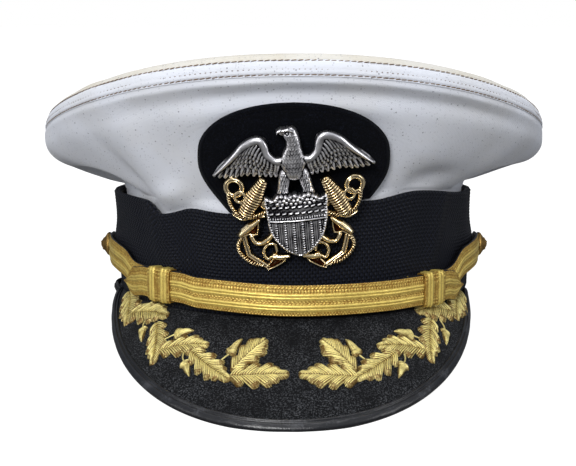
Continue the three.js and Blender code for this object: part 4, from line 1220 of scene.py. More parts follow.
def stitch_tree():
    """Copies of one shape along a line, turned along it and out of the cloth by its "out" vectors."""
    sockets = [
        ("Geometry", GEOMETRY, None), ("Shape", OBJECT, None), ("Apart", FLOAT, None),
        ("Slant", FLOAT, None), ("Finish", MATERIAL, None), ("Seed", COUNT, None),
    ]
    tree, w, start = new_tree("stitches_on_a_line", GEOMETRY_TREE, sockets, "Geometry", GEOMETRY)
    curve = w.result("GeometryNodeMeshToCurve", {"Mesh": start["Geometry"]})
    spots = {"Curve": curve, "Length": start["Apart"]}
    points = w.node("GeometryNodeCurveToPoints", spots, mode="LENGTH").outputs
    out = w.result("GeometryNodeInputNamedAttribute", {"Name": "out"}, data_type="FLOAT_VECTOR")
    along = w.result("FunctionNodeAlignRotationToVector", {"Vector": points["Tangent"]}, axis="X")
    outward = {"Rotation": along, "Vector": out}
    upright = w.result("FunctionNodeAlignRotationToVector", outward, axis="Z", pivot_axis="X")
    sway = {"Min": -0.08, "Max": 0.08, "Seed": start["Seed"]}
    swing = w.node("FunctionNodeRandomValue", sway, data_type="FLOAT")
    swing_out = next(s for s in swing.outputs if s.enabled)
    turn = w.result("ShaderNodeCombineXYZ", {"Z": w.sums("ADD", start["Slant"], swing_out)})
    spin = w.result("FunctionNodeEulerToRotation", {0: turn})
    spun = {"Rotation": upright, "Rotate By": spin}
    rotation = w.result("FunctionNodeRotateRotation", spun, rotation_space="LOCAL")
    shape = w.node("GeometryNodeObjectInfo", {"Object": start["Shape"]}).outputs["Geometry"]
    copies = {"Points": points[0], "Instance": shape, "Rotation": rotation}
    close_tree(w, w.result("GeometryNodeInstanceOnPoints", copies), start["Finish"])
    return tree


def grown(name, mesh, tree, **values):
    """Runs a geometry tree on a mesh and gives back the plain result as an object."""
    carrier = add_object(name + "_lines", mesh)
    modifier = carrier.modifiers.new("grow", "NODES")
    modifier.node_group = tree
    sockets = {item.name: item.identifier for item in tree.interface.items_tree if item.in_out == "INPUT"}
    for label, value in values.items():
        modifier[sockets[label]] = value
    bpy.context.view_layer.update()
    result = carrier.evaluated_get(bpy.context.evaluated_depsgraph_get())
    plain = bpy.data.meshes.new_from_object(result)
    carrier.modifiers.clear()
    bpy.data.objects.remove(carrier)
    return add_object(name, plain)


class Lines:
    """Gathers open or closed lines with a thickness and a height in the relief at each point."""

    def __init__(self):
        self.points, self.edges, self.thickness, self.crest, self.out = [], [], [], [], []
        self.count = 0

    def add(self, points, thickness, crest=1.0, closed=False, out=None):
        points = np.asarray(points, float)
        size = len(points)
        ends = np.arange(size if closed else size - 1)
        self.edges.extend((self.count + ends[:, None] + [[0, 1]]).tolist())
        if closed:
            self.edges[-1][1] = self.count
        self.points.append(points)
        self.thickness.append(np.broadcast_to(np.asarray(thickness, float), (size,)))
        self.crest.append(np.broadcast_to(np.asarray(crest, float), (size,)))
        self.out.append(np.zeros((size, 3)) if out is None else out)
        self.count += size

    def mesh(self, name):
        made = bpy.data.meshes.new(name)
        made.from_pydata(settle(np.concatenate(self.points)).tolist(), self.edges, [])
        thickness = made.attributes.new("thickness", "FLOAT", "POINT")
        thickness.data.foreach_set("value", (np.concatenate(self.thickness) * MM).astype(np.float32))
        crest = made.attributes.new("crest", "FLOAT", "POINT")
        crest.data.foreach_set("value", np.concatenate(self.crest).astype(np.float32))
        out = made.attributes.new("out", "FLOAT_VECTOR", "POINT")
        out.data.foreach_set("vector", np.concatenate(self.out).astype(np.float32).ravel())
        return made

    def threads(self, name, finish):
        return grown(name, self.mesh(name), ROUND_THREADS, Sides=THREAD["sides"], Finish=finish)


def tip(vectors):
    """Directions in the cap's frame, tipped back as the cap is."""
    cosine, sine = math.cos(TIP_BACK), math.sin(TIP_BACK)
    x, y, z = np.moveaxis(vectors, -1, 0)
    return np.stack([x, y * cosine + z * sine, -y * sine + z * cosine], axis=-1)


def joined(name, parts):
    """Joins objects into the first, which gets the name."""
    with bpy.context.temp_override(
        active_object=parts[0], object=parts[0], selected_objects=parts, selected_editable_objects=parts
    ):
        bpy.ops.object.join()
    parts[0].name = name
    parts[0].data.name = name
    return parts[0]


ROUND_THREADS, STITCHES = round_thread_tree(), stitch_tree()


# Every stitch: its sides, how deep it sinks, how far its row stands off the cloth, its slant in
# radians, and how far up the welt's face the cloth's direction is felt.
STITCH = {"sides": 5, "sink": 0.02, "stand": 0.12, "slant": 0.16, "feeler": 0.02}
# Kinds of stitch: length and thread radius.
STITCH_KINDS = {"crown_stitch": (2.3, 0.22), "crown_thin_stitch": (0.7, 0.16)}
# Rows of stitches: share of the way up the welt's face, kind, and distance from stitch to stitch.
STITCH_ROWS = [
    (LOWER_STITCHES, "crown_stitch", 2.5), (UPPER_STITCHES, "crown_stitch", 2.5),
    (MIDDLE_STITCHES, "crown_thin_stitch", 2.1),
]


def stitch_shape(name, length, radius):
    """One stitch: a short thread that dips into the cloth at both ends, in metres along X."""
    sides = STITCH["sides"]
    angle = np.radians(spaced(0, 360, sides + 1)[:-1])
    sections = []
    for share in (-0.5, -0.3, 0.3, 0.5):
        lift = radius * (1 - (2 * abs(share)) ** 3) - STITCH["sink"]
        thin = radius * (1 - (2 * abs(share)) ** 6 * 0.7)
        across = np.full_like(angle, share * length)
        sections.append(np.stack([across, thin * np.cos(angle), lift + thin * np.sin(angle)], -1))
    mesh = bpy.data.meshes.new(name)
    points = np.concatenate(sections) * MM
    faces = []
    for i in range(len(sections) - 1):
        for j in range(sides):
            k = (j + 1) % sides
            near, far = i * sides, (i + 1) * sides
            faces.append((near + j, far + j, far + k, near + k))
    faces.append(tuple(range(sides)))
    faces.append(tuple(reversed(range(len(points) - sides, len(points)))))
    mesh.from_pydata(points.tolist(), [], faces)
    made = add_object(name, mesh)
    made.hide_render = True
    return made


def stitch_row(name, points, normals, shape, apart, seed):
    lines = Lines()
    lines.add(points, 0.1, closed=True, out=tip(normals))
    values = {"Shape": shape, "Apart": apart * MM, "Slant": STITCH["slant"], "Seed": seed}
    return grown(name, lines.mesh(name), STITCHES, Finish=OCHRE, **values)


def make_crown_stitches():
    shapes = {kind: stitch_shape(kind, *sizes) for kind, sizes in STITCH_KINDS.items()}
    turn = turns_round(720)
    made = []
    for number, (share, kind, apart) in enumerate(STITCH_ROWS):
        place = welt_surface(turn, share, -seam_dip(share, turn * 0) + STITCH["stand"])
        above = welt_surface(turn, share + STITCH["feeler"])
        round_it = welt_surface(turn + 0.5, share) - welt_surface(turn - 0.5, share)
        normal = unit(np.cross(round_it, above - welt_surface(turn, share)))
        name = f"crown_stitch_row_{number}"
        made.append(stitch_row(name, place, normal, shapes[kind], apart, number))
    for shape in shapes.values():
        bpy.data.objects.remove(shape)
    return finish_piece(joined("crown_edge_stitches", made), "crown_panel")


# Badge. It is struck metal, so each half is drawn as heights over a flat grid: x across, y up.


def polyline(places, closed=False, steps=8):
    """A smooth line through a few places in the plane."""
    knots = np.array(places, float)
    if closed:
        knots = np.concatenate([knots[-1:], knots, knots[:2]])
        share = spaced(1, len(knots) - 2, (len(knots) - 3) * steps + 1)[:-1] / (len(knots) - 1)
    else:
        share = spaced(0, 1, (len(knots) - 1) * steps + 1)
    return along_knots(np.broadcast_to(knots, share.shape + knots.shape), share)


class Struck:
    """A struck relief: strokes raise the metal, and the highest one shows."""

    def __init__(self, left, right, low, high, step=0.22):
        across = np.arange(left, right + step, step)
        up = np.arange(low, high + step, step)
        self.step = step
        self.x, self.y = np.meshgrid(across, up, indexing="ij")
        self.inside = np.full(self.x.shape, -9.0)
        self.height = np.zeros(self.x.shape)

    def press(self, inside, height, part=...):
        """Raises the metal wherever inside, a distance in from the stroke's edge, is above zero."""
        self.inside[part] = np.maximum(self.inside[part], inside)
        low = self.height[part]
        self.height[part] = np.where((inside > 0) & (height > low), height, low)

    def around(self, line, reach):
        """The part of the grid that lies within reach of a line."""
        low, high = np.min(line, axis=0) - reach - 1, np.max(line, axis=0) + reach + 1
        corner = np.array([self.x[0, 0], self.y[0, 0]])
        first = np.maximum(((low - corner) / self.step).astype(int), 0)
        last = np.maximum(((high - corner) / self.step).astype(int) + 1, 0)
        return (slice(first[0], last[0]), slice(first[1], last[1]))

    def stroke(self, line, radius, base, rise, tilt=0.0, roundness=0.5, twist=None, shaft=0.0):
        """A rounded stroke along a line. Radius may be a list from start to end."""
        radii = np.atleast_1d(np.asarray(radius, float))
        part = self.around(line, radii.max())
        gap, side, along, share = near_line(line, self.x[part], self.y[part])
        reach = np.interp(share, spaced(0, 1, len(radii)), radii)
        off = np.clip(gap / reach, 0, 1)
        height = base + rise * (1 - off**2) ** roundness + tilt * side / reach
        if twist:
            height = height + twist[1] * np.sin(2 * np.pi * (along / twist[0] + 0.45 * side / reach))
        height = height - shaft * hump(side, 0.16)
        self.press(reach - gap, height, part)

    def ball(self, x, y, radius, base, rise):
        part = self.around([(x, y)], radius)
        off = np.hypot(self.x[part] - x, self.y[part] - y)
        self.press(radius - off, base + rise * np.sqrt(np.maximum(1 - (off / radius) ** 2, 0)), part)

    def shield_of(self, outline, base, edge):
        places = np.stack([self.x, self.y], -1)
        gap = distance_to(outline, places)
        inside = np.where(within(outline, self.x, self.y), gap, -gap)
        self.press(inside, base + edge * np.clip(inside / 0.6, 0, 1))
        return inside

    def add(self, height, where=None):
        self.height = self.height + (height if where is None else np.where(where, height, 0))

    def close(self, shape, place, back=0.2, edge=0.45):
        """Closes the relief with its rim and a flat back, and adds it to a shape through a map."""
        corner = self.inside
        middle = (corner[:-1, :-1] + corner[1:, :-1] + corner[1:, 1:] + corner[:-1, 1:]) / 4
        i, j = np.nonzero(middle > 0)
        number = np.arange(self.x.size).reshape(self.x.shape)
        quads = np.stack([number[i, j], number[i + 1, j], number[i + 1, j + 1], number[i, j + 1]], -1)
        used, index = np.unique(quads, return_inverse=True)
        quads = index.reshape(-1, 4)
        edges = np.concatenate([quads[:, [k, (k + 1) % 4]] for k in range(4)])
        unused_keys, first, counts = np.unique(
            np.sort(edges, axis=1), axis=0, return_index=True, return_counts=True
        )
        rim = edges[first[counts == 1]]
        on_rim = np.zeros(len(used), bool)
        on_rim[rim.ravel()] = True
        lean_x, lean_y = np.gradient(np.maximum(corner, -1.0), self.step)
        steep = np.maximum(lean_x**2 + lean_y**2, 0.05)
        off = np.where(on_rim, corner.ravel()[used] / steep.ravel()[used], 0)
        most = self.step * 0.7
        x = self.x.ravel()[used] - np.clip(off * lean_x.ravel()[used], -most, most)
        y = self.y.ravel()[used] - np.clip(off * lean_y.ravel()[used], -most, most)
        high = np.maximum(self.height.ravel()[used], back + edge)
        high = np.where(on_rim, back + edge, high)
        front = np.stack([x, y, high], -1)
        rear = np.stack([x, y, np.full_like(x, back)], -1)
        count = len(used)
        walls = np.stack([rim[:, 1], rim[:, 0], rim[:, 0] + count, rim[:, 1] + count], -1)
        faces = np.concatenate([quads, quads[:, ::-1] + count, walls])
        # The cavity map goes to the metal finishes, which paint the hollows dark: tarnish with painted shade.
        crest = np.concatenate([self.cavity().ravel()[used], np.zeros(count)])
        shape.add(place(np.concatenate([front, rear])), faces)
        shape.crests[-1] = crest

    def cavity(self):
        """How far each place stands out of its surroundings, from 0 in a hollow to 1 on a crest."""
        soft = self.height.copy()
        for unused in range(10):
            beside = [np.roll(soft, step, axis) for axis in (0, 1) for step in (1, -1)]
            soft = sum(beside, soft) / 5
        return np.clip(0.5 + (self.height - soft) * 2.6, 0, 1)


def near_line(line, x, y):
    """Distance to a line, signed side, length along it, and share of its length."""
    line = np.asarray(line, float)
    gap = np.full(x.shape, 9e9)
    side, along = np.zeros(x.shape), np.zeros(x.shape)
    run = 0.0
    for (ax, ay), (bx, by) in zip(line, line[1:]):
        dx, dy = bx - ax, by - ay
        length = math.hypot(dx, dy)
        share = np.clip(((x - ax) * dx + (y - ay) * dy) / length**2, 0, 1)
        off = np.hypot(x - ax - share * dx, y - ay - share * dy)
        cross = ((x - ax) * dy - (y - ay) * dx) / length
        closer = off < gap
        gap = np.where(closer, off, gap)
        side = np.where(closer, cross, side)
        along = np.where(closer, run + share * length, along)
        run += length
    return gap, side, along, along / run


def within(outline, x, y):
    """Whether places lie inside a closed outline."""
    odd = np.zeros(x.shape, bool)
    for (ax, ay), (bx, by) in zip(outline, np.roll(outline, -1, axis=0)):
        if ay == by:
            continue
        crosses = ((ay > y) != (by > y)) & (x < (bx - ax) * (y - ay) / (by - ay) + ax)
        odd ^= crosses
    return odd


def place_badge(points):
    """Rolls the flat badge a little as worn, bends it round the front and leans it on the cap."""
    roll, lean = math.radians(BADGE["roll"]), math.radians(90 + BADGE["lean"])
    x, y, z = np.moveaxis(points, -1, 0)
    x, y = x * math.cos(roll) - y * math.sin(roll), x * math.sin(roll) + y * math.cos(roll)
    z = z - x**2 / (2 * BADGE["bend_radius"])
    y, z = y * math.cos(lean) - z * math.sin(lean), y * math.sin(lean) + z * math.cos(lean)
    return np.stack([x + BADGE["x"], y + BADGE["y"], z + BADGE["z"]], axis=-1)


# The eagle's right wing, mirrored for the left: its outline, and the line and half widths of its arm.
WING_OUTLINE = [
    (3, 3.6), (4.4, 3.8), (6.6, 3.9), (8.6, 6), (9.1, 9.7), (9.9, 11.3), (11.4, 12.1), (14.6, 11.8),
    (18.5, 10), (22, 7.1), (26.2, 3), (31.4, -2.4), (28.3, -3), (24.8, -3), (20.5, -2.5), (17.3, -2.4),
    (13.4, -2.8), (10.3, -3), (6.5, -3.3), (3, -3),
]
WING_ARM = [
    (4.4, 2.2), (7, 2.3), (9.8, 4.8), (10.8, 8.2), (12.2, 10.3), (14.8, 10.2), (18.2, 8.5),
    (21.4, 5.8), (25.6, 2.1), (30.8, -2.3),
]
WING_ARM_WIDTH = [1.5, 1.6, 1.7, 1.8, 1.8, 1.7, 1.3, 1.0, 0.8, 0.35]

# Where the long feathers end, from the wing's tip inward, and the line that they start from.
FEATHER_ENDS = [
    (31.2, -2.9), (29.1, -3.5), (26.9, -3.6), (24.7, -3.6), (22.5, -3.4), (20.3, -2.9), (17.9, -2.8),
    (15.5, -3.1), (13.1, -3.3), (10.9, -3.5), (8.9, -3.7), (7, -3.8),
]
FEATHER_ROOTS = [
    (20, 6.2), (18.9, 6.8), (17.7, 7.3), (16.4, 7.8), (15, 8), (13.7, 7.6), (12.5, 6.4), (11.4, 5),
    (10.4, 3.8), (9.2, 2.8), (7.6, 2), (5.8, 1.4),
]
# Rows of short feathers above them: how far down the long ones a row reaches, its level, its count.
COVERT_ROWS = [(0.64, 1.95, 12), (0.47, 2.35, 13), (0.32, 2.7, 14), (0.18, 3.0, 14)]

SHIELD_OUTLINE = [
    (-12.4, -11.9), (-8.8, -12.7), (-4.5, -12.1), (0, -12), (4.5, -12.1), (8.8, -12.8), (12.2, -12.1),
    (12, -17.5), (11.6, -22), (10.2, -27.3), (7.9, -31.2), (4.4, -34.6), (0, -36.4),
    (-4.3, -34.6), (-7.9, -31.4), (-10.3, -27.8), (-11.6, -24), (-12, -19),
]
SHIELD = {"dash_rows": (-15.6, -18.1), "line": -20.2, "foot_line": -21.1, "stripe": 3.4, "bead": 0.95}


def feather_scales(x, y, wide, tall):
    """Overlapping rounded scales: each falls to its own tip."""
    row = np.floor(y / tall)
    across = (x / wide + 0.5 * (row % 2) + 0.13 * np.sin(row * 2.3)) % 1
    fall = 1 - (y / tall) % 1
    return fall * (1 - (2 * across - 1) ** 2)


def scratches(x, y, size, slant):
    """Fine engraved lines that waver, for plumage."""
    along = x * math.cos(slant) + y * math.sin(slant)
    across = -x * math.sin(slant) + y * math.cos(slant)
    waver = np.sin(across * 7.4 + 0.9 * np.sin(along * 1.1))
    return size * waver * (0.6 + 0.4 * np.sin(along * 2.9 + across))


def draw_wing(relief, side):
    outline = np.array(WING_OUTLINE) * [side, 1]
    places = np.stack([relief.x, relief.y], -1)
    gap = distance_to(outline, places)
    relief.press(np.where(within(outline, relief.x, relief.y), gap, -gap), 1.45)
    last = len(FEATHER_ENDS) - 1

    def feather(place):
        near = min(int(place), last - 1)
        rows = (FEATHER_ROOTS, FEATHER_ENDS)
        return [lerp(np.array(row[near]), np.array(row[near + 1]), place - near) for row in rows]

    for number in range(len(FEATHER_ENDS)):
        root, end = feather(number)
        bow = np.array([0.2, 0.3]) * (1 - number / last)
        line = polyline([p * [side, 1] for p in (root, (root + end) / 2 + bow, end)], steps=4)
        widths = [1.0, 1.4, 1.5, 1.35, 0.6]
        relief.stroke(line, widths, 1.4 + 0.025 * number, 0.4, tilt=-0.55 * side, shaft=0.35)
    for reach, level, count in COVERT_ROWS:
        for place in spaced(0.1, last - 0.1, count):
            root, end = feather(place)
            start, stop = lerp(root, end, max(reach - 0.3, -0.1)), lerp(root, end, reach)
            line = np.array([start, lerp(start, stop, 0.5), stop]) * [side, 1]
            relief.stroke(line, [0.7, 1.1, 0.95], level, 0.55, tilt=-0.35 * side, shaft=0.22)
    arm = polyline([(side * px, py) for px, py in WING_ARM], steps=6)
    relief.stroke(arm, WING_ARM_WIDTH, 2.4, 1.5)


def draw_eagle(relief):
    for side in (-1, 1):
        draw_wing(relief, side)
        leg = polyline([(side * 3.4, -3), (side * 4.3, -7), (side * 5.3, -11.8)], steps=5)
        relief.stroke(leg, [2.2, 2.3, 2.2, 2.4], 1.6, 2.4)
    x, y = relief.x, relief.y
    legs = (y < -3) & (y > -12.4) & (relief.height > 1.6)
    relief.add(scratches(x, y, 0.16, 1.2) + 0.2 * feather_scales(x, y, 1.3, 1.7), legs)
    body = polyline([(0.1, -2), (0.1, 1.2), (0.3, 4.4), (0.7, 7.4), (0.6, 10.4), (-0.2, 12.7)], steps=5)
    gap, side, along, share = near_line(body, x, y)
    reach = np.interp(share, [0, 0.22, 0.44, 0.64, 0.84, 1], [3.6, 5, 4.1, 2.95, 2.65, 2.9])
    round_body = 2.7 + 2.7 * np.sqrt(np.maximum(1 - np.clip(gap / reach, 0, 1) ** 2, 0))
    plumes = 0.14 * feather_scales(x, y, 1.2, 1.7) + scratches(np.abs(x), y, 0.05, 0.8)
    relief.press(reach - gap, round_body + plumes * (y < 12.6))
    relief.stroke([(-1.6, 13.7), (-3.6, 14.2), (-4.9, 13.9), (-5.3, 12.9)], [1.7, 1.2, 0.9, 0.2], 3.2, 1.6)
    relief.stroke([(-1.8, 12.6), (-4, 12.9)], [0.9, 0.4], 2.8, 1.0)
    relief.stroke([(-3, 14.4), (-0.8, 14.6), (0.8, 13.8)], [0.5, 0.65, 0.3], 4.9, 0.7)
    eye = np.hypot(x + 1.3, y - 13.2)
    relief.add(-0.45 * hump(eye - 0.55, 0.28))


def draw_claws(relief):
    """The talons on the shield's upper edge: a row of rounded knuckles."""
    for row, (level, count, start) in enumerate([(-11.6, 9, -7.4), (-12.9, 10, -8), (-14.1, 9, -7.2)]):
        for number in range(count):
            along = start + number * 1.75
            lift = 0.35 * math.sin(number * 2.1 + row * 1.7)
            relief.ball(along, level + lift, 0.85 + 0.12 * math.sin(number * 3.7 + row), 4.7, 1.2)


def beads_along(length, pitch):
    return np.sqrt(np.clip(np.cos(2 * np.pi * length / pitch), 0, 1))


def draw_shield(relief):
    x, y = relief.x, relief.y
    before = relief.height.copy()
    inside = relief.shield_of(polyline(SHIELD_OUTLINE, closed=True, steps=4), 3.4, 0.8)
    on = inside > 0
    field = 0.12 * np.sin(x * 2 * np.pi / 0.85) * (y < SHIELD["foot_line"] - 1)
    field = field + 0.06 * np.sin(x * 9.1 + 2 * np.sin(y * 3.3)) * np.sin(y * 8.3)
    for number, level in enumerate(SHIELD["dash_rows"]):
        place = (x / 2.5 + 0.5 * number) % 1
        dash = smooth((0.36 - np.abs(place - 0.5)) / 0.12)
        row = y - level - 0.5 * (place - 0.5)
        field = np.maximum(field, 0.75 * dash * hump(row, 0.34))
    line = hump(y - SHIELD["line"], 0.34) * beads_along(x, SHIELD["bead"])
    foot = hump(y - SHIELD["foot_line"], 0.34)
    field = np.maximum(field, np.where(inside > 0.9, np.maximum(0.8 * line, 0.7 * foot), 0))
    stripe = x / SHIELD["stripe"] + 0.5
    off = (stripe - np.round(stripe)) * SHIELD["stripe"]
    column_of_beads = 0.8 * hump(off, 0.36) * beads_along(y, SHIELD["bead"])
    field = np.maximum(field, np.where((y < SHIELD["foot_line"] - 0.8) & (inside > 1.2), column_of_beads, 0))
    edge = 0.85 * hump(inside - 0.7, 0.38) * beads_along(y + 0.35 * np.abs(x), 1.1)
    face = 3.9 + 1.4 * (1 - (x / 14) ** 2) + np.maximum(field, edge)
    face = np.where(inside < 0.9, np.minimum(face, 4 + inside * 1.6), face)
    relief.height = np.where(on, np.maximum(face, np.where(before > face + 0.5, before, 0)), relief.height)


def make_eagle():
    relief = Struck(-34, 34, -38, 17, BADGE["grid"])
    draw_eagle(relief)
    draw_shield(relief)
    draw_claws(relief)
    shape = Shape()
    relief.close(shape, place_badge, back=0.7)
    return finish_piece(shape.piece("badge_eagle_and_shield", SILVER), "silver_cast", "badge_eagle")


# The crossed anchors, right half, mirrored for the left. Flukes are closed outlines.
ANCHORS = {"turn": -3, "about": (-0.4, -10), "ring": (23.5, -9.1), "ring_radius": 3.15, "eye": (21.3, -12.7)}
# The stock's line, its half widths at these three places, and how many ribs it has.
STOCK_LINE = [(11.6, -5.4), (15.75, -12.6), (19.9, -19.8)]
STOCK_WIDTHS = [1.9, 3.5, 2.9]
STOCK_RIBS = 15
UPPER_FLUKE = [
    (14, -21.3), (18.6, -23.8), (21.5, -26.4), (23, -28.7), (21.4, -29.5), (18.2, -28), (16.5, -28.3),
    (14.9, -28.1), (14.2, -25),
]
LOWER_FLUKE = [
    (2.4, -36.5), (5.9, -36.3), (9.2, -35.4), (9.9, -38.3), (12.4, -41.2), (11.8, -42.8), (9, -41.8),
    (5.2, -39.6),
]
FLUKE_RIDGES = [[(14.4, -22), (18, -25.2), (21.7, -28.2)], [(3, -36.8), (6.4, -37.2), (9.2, -37)]]
ANCHOR_ARMS = [(20.4, -29.4), (19.6, -33), (18.7, -36.5), (15.2, -38.9), (11.6, -41.3)]
ROPES = [
    [(25.8, -11.6), (25.5, -14.8), (24.4, -17.4), (22.7, -19.4), (19.9, -20.9), (16.6, -20.6), (11.8, -18.8)],
    [(21.4, -29.6), (22.9, -32.3), (22.6, -35.1), (20.5, -37.8), (17.6, -39.8), (13.6, -40.7)],
]
# Plain cords: their places and half width.
HORNS = [
    ([(17.4, -28.6), (16, -31.1), (13.6, -31.4), (11, -29.8), (8.8, -27.6)], 1.1),
    ([(7.6, -34.6), (8.4, -31.8), (11.3, -32.1), (12.9, -35.1), (11.4, -38), (9.4, -36.6)], 0.75),
    ([(24.2, -20.2), (21, -22), (17.2, -21.2), (12, -20.4)], 0.55),
]


def draw_anchor(relief, side):
    angle = math.radians(ANCHORS["turn"])
    about = ANCHORS["about"]

    def put(places):
        x, y = np.array(places, float).T
        x = side * x
        y = y - about[1]
        turned_x = x * math.cos(angle) - y * math.sin(angle) + about[0]
        return np.stack([turned_x, x * math.sin(angle) + y * math.cos(angle) + about[1]], -1)

    def circle(centre, radius):
        around = np.radians(spaced(0, 360, 29))
        return np.stack([centre[0] + radius * np.sin(around), centre[1] + radius * np.cos(around)], -1)

    x, y = relief.x, relief.y
    relief.stroke(put([(15.7, -12.6), (9, -19)]), 1.5, 0.8, 1.2)
    relief.stroke(put(circle(ANCHORS["ring"], ANCHORS["ring_radius"])), 1.1, 0.9, 1.3, shaft=0.5)
    relief.stroke(put(circle(ANCHORS["eye"], 2.1)), 0.7, 1.3, 1.3, shaft=0.4)
    for places, width in HORNS:
        relief.stroke(polyline(put(places), steps=6), width, 0.9, 1.9 * width)
    for rope in ROPES:
        relief.stroke(polyline(put(rope), steps=7), 0.9, 1.2, 1.3, twist=(1.1, 0.45))
    relief.stroke(put(ANCHOR_ARMS), 1.25, 0.9, 1.5, shaft=0.75)
    for outline, ridge in zip((UPPER_FLUKE, LOWER_FLUKE), FLUKE_RIDGES):
        rim = put(outline)
        gap = distance_to(rim, np.stack([x, y], -1))
        inside = np.where(within(rim, x, y), gap, -gap) + 0.3
        relief.press(inside, 1.1 + 1.5 * hump(inside - 0.7, 0.4))
        relief.stroke(polyline(put(ridge), steps=5), [0.9, 1.25, 1.0], 1.5, 1.4)
    stock = put(STOCK_LINE)
    gap, off, along, share = near_line(stock, x, y)
    reach = np.interp(share, spaced(0, 1, len(STOCK_WIDTHS)), STOCK_WIDTHS)
    roll = np.clip(np.abs(off) / reach, 0, 1)
    body = 1.3 + 2.2 * np.sqrt(np.maximum(1 - roll**2, 0))
    rib = share * STOCK_RIBS + 0.35 * roll**2
    beyond = np.where((share <= 0) | (share >= 1), gap, 0)
    square_end = np.where(beyond > np.abs(off) + 0.05, -gap, reach - np.abs(off) - beyond * 3)
    relief.press(square_end, body + 1.0 * np.abs(np.cos(np.pi * rib)) ** 0.8 - 0.5)


def make_anchors():
    relief = Struck(-31, 31, -47, -2, BADGE["grid"])
    for side in (1, -1):
        draw_anchor(relief, side)
    shape = Shape()
    relief.close(shape, place_badge)
    return finish_piece(shape.piece("badge_crossed_anchors", GOLD), "gold_cast", "badge_anchors")


# Buttons

# The dome's section: distance from the middle, and height.
BUTTON_DOME = [(0, 4.3), (1, 4.1), (2.8, 3.2), (4.6, 1.9), (5.5, 1.0), (5.9, 0.5)]

def make_button(side_name, side):
    """A turned dome with a roped rim and a small plain anchor, on its shank."""
    turn = side * BUTTON["turn"]
    stand = read([(row[0], row[2]) for row in SIDE_STRAP], 1, BUTTON["turn"]) + STRAP["thickness"] / 2
    out = band_normal(np.array(turn))
    seat = beside_band(np.array(turn), BUTTON["height"], float(stand) + BUTTON["clearance"])
    along = np.array([-out[1], out[0], 0])

    def place(points):
        x, y, z = (points[..., k : k + 1] for k in range(3))
        return seat + along * x + np.array([0, 0, 1.0]) * y + out * z

    relief = Struck(-6.2, 6.2, -6.2, 6.2, 0.2)
    off = np.hypot(relief.x, relief.y)
    around = np.arctan2(relief.y, relief.x)
    dome = np.interp(off, *np.array(BUTTON_DOME).T)
    rope = 0.3 * hump(off - 5.3, 0.4) * (0.6 + 0.4 * np.cos(40 * around + off * 4))
    relief.press(BUTTON["radius"] - off, dome + rope)
    relief.add(0.4 * hump(np.hypot(relief.x, relief.y - 2.4) - 0.6, 0.22))
    relief.add(0.4 * hump(relief.x, 0.26), (relief.y < 1.8) & (relief.y > -2.8))
    relief.add(0.4 * hump(relief.y - 1.2, 0.26), np.abs(relief.x) < 1.3)
    curve = np.abs(np.hypot(relief.x, relief.y + 0.4) - 2.3)
    relief.add(0.4 * hump(curve, 0.28), relief.y < -1)
    shape = Shape()
    relief.close(shape, place, back=0.0, edge=0.35)
    angle = np.radians(spaced(0, 360, 25)[:-1])[None, :]
    reach = np.array([1.5, 1.5])[:, None]
    depth = np.array([0.1, -float(stand) + 0.6])[:, None]
    shank = np.stack(np.broadcast_arrays(reach * np.cos(angle), reach * np.sin(angle), depth), -1)
    shape.loft(place(shank))
    made = shape.piece(f"side_button_{side_name}", BRASS)
    return finish_piece(made, "button_brass", f"button_{side_name}")


# Embroidery on the visor. Leaves: half, number, stalk end, tip, width, sideways bow.
LEAVES = [
    (-1, 1, (-74.5, -51.6), (-72.1, -76.8), 12, 0.04), (1, 1, (75.3, -49.5), (70.3, -73.2), 12, -0.04),
    (-1, 2, (-70, -72.1), (-52.9, -87.6), 13.4, 0.03), (1, 2, (67.6, -72), (51.4, -85.7), 13.4, -0.03),
    (-1, 3, (-56.7, -89.6), (-56, -110.7), 11, 0.03), (1, 3, (57.2, -86.8), (54.6, -109.2), 11, -0.03),
    (-1, 4, (-52.7, -105.6), (-33.6, -111.5), 13, 0.03), (1, 4, (51.9, -105), (32.8, -111.9), 13, -0.03),
    (-1, 5, (-39.8, -112.9), (-24.2, -129.5), 13, -0.03), (1, 5, (39.4, -113), (22.7, -129), 13, 0.03),
    (-1, 6, (-22.9, -124.6), (-10.4, -113.4), 12, 0.02), (1, 6, (22.9, -124.6), (10.4, -113.4), 12, -0.02),
    (-1, 7, (-23.3, -128), (-1.7, -129.1), 12, -0.02), (1, 7, (23.3, -128), (1.7, -129.1), 12, 0.02),
]

# Acorns: half, number, cup end, tip, width, where the stem starts.
ACORNS = [
    (-1, 1, (-68.3, -70.2), (-59.9, -75.4), 4.4, (-71, -69)),
    (-1, 2, (-63.5, -86.2), (-62.9, -95.1), 4.6, (-63, -82)),
    (1, 2, (63.5, -86.2), (62.9, -95.1), 4.6, (62, -82)),
    (-1, 3, (-48.7, -99.7), (-40, -101.7), 6, (-54, -100)),
    (1, 3, (48.7, -99.7), (40, -101.7), 6, (54, -99)),
    (-1, 4, (-43, -115.4), (-40, -123.8), 5.2, (-43.6, -111)),
    (1, 4, (43, -115.4), (40, -123.8), 5.2, (43.6, -111)),
    (-1, 5, (-25.4, -117.9), (-20, -111.6), 6, (-29, -121)),
    (1, 5, (25.4, -117.9), (20, -111.6), 6, (29, -121)),
]

# A leaf's lobes on one side: where each leaves the midrib and how far out it reaches, as shares.
LOBES = [(0.0, 0.7), (0.2, 0.88), (0.42, 0.82), (0.62, 0.56)]
ACORN_FILL = 0.74
# How much of each leaf's width its embroidery fills, by the leaf's number.
LEAF_FILL = {1: 0.95, 2: 0.88, 3: 0.9, 4: 0.8, 5: 0.84, 6: 0.95, 7: 0.97}
THREAD = {"apart": 0.58, "radius": 0.27, "sides": 5}
EMBROIDERY_HEIGHT = 1.6


def leaf_angle(share):
    """Threads leave the midrib at this angle, and close in on it towards the tip."""
    return np.radians(lerp(44.0, 26.0, share))


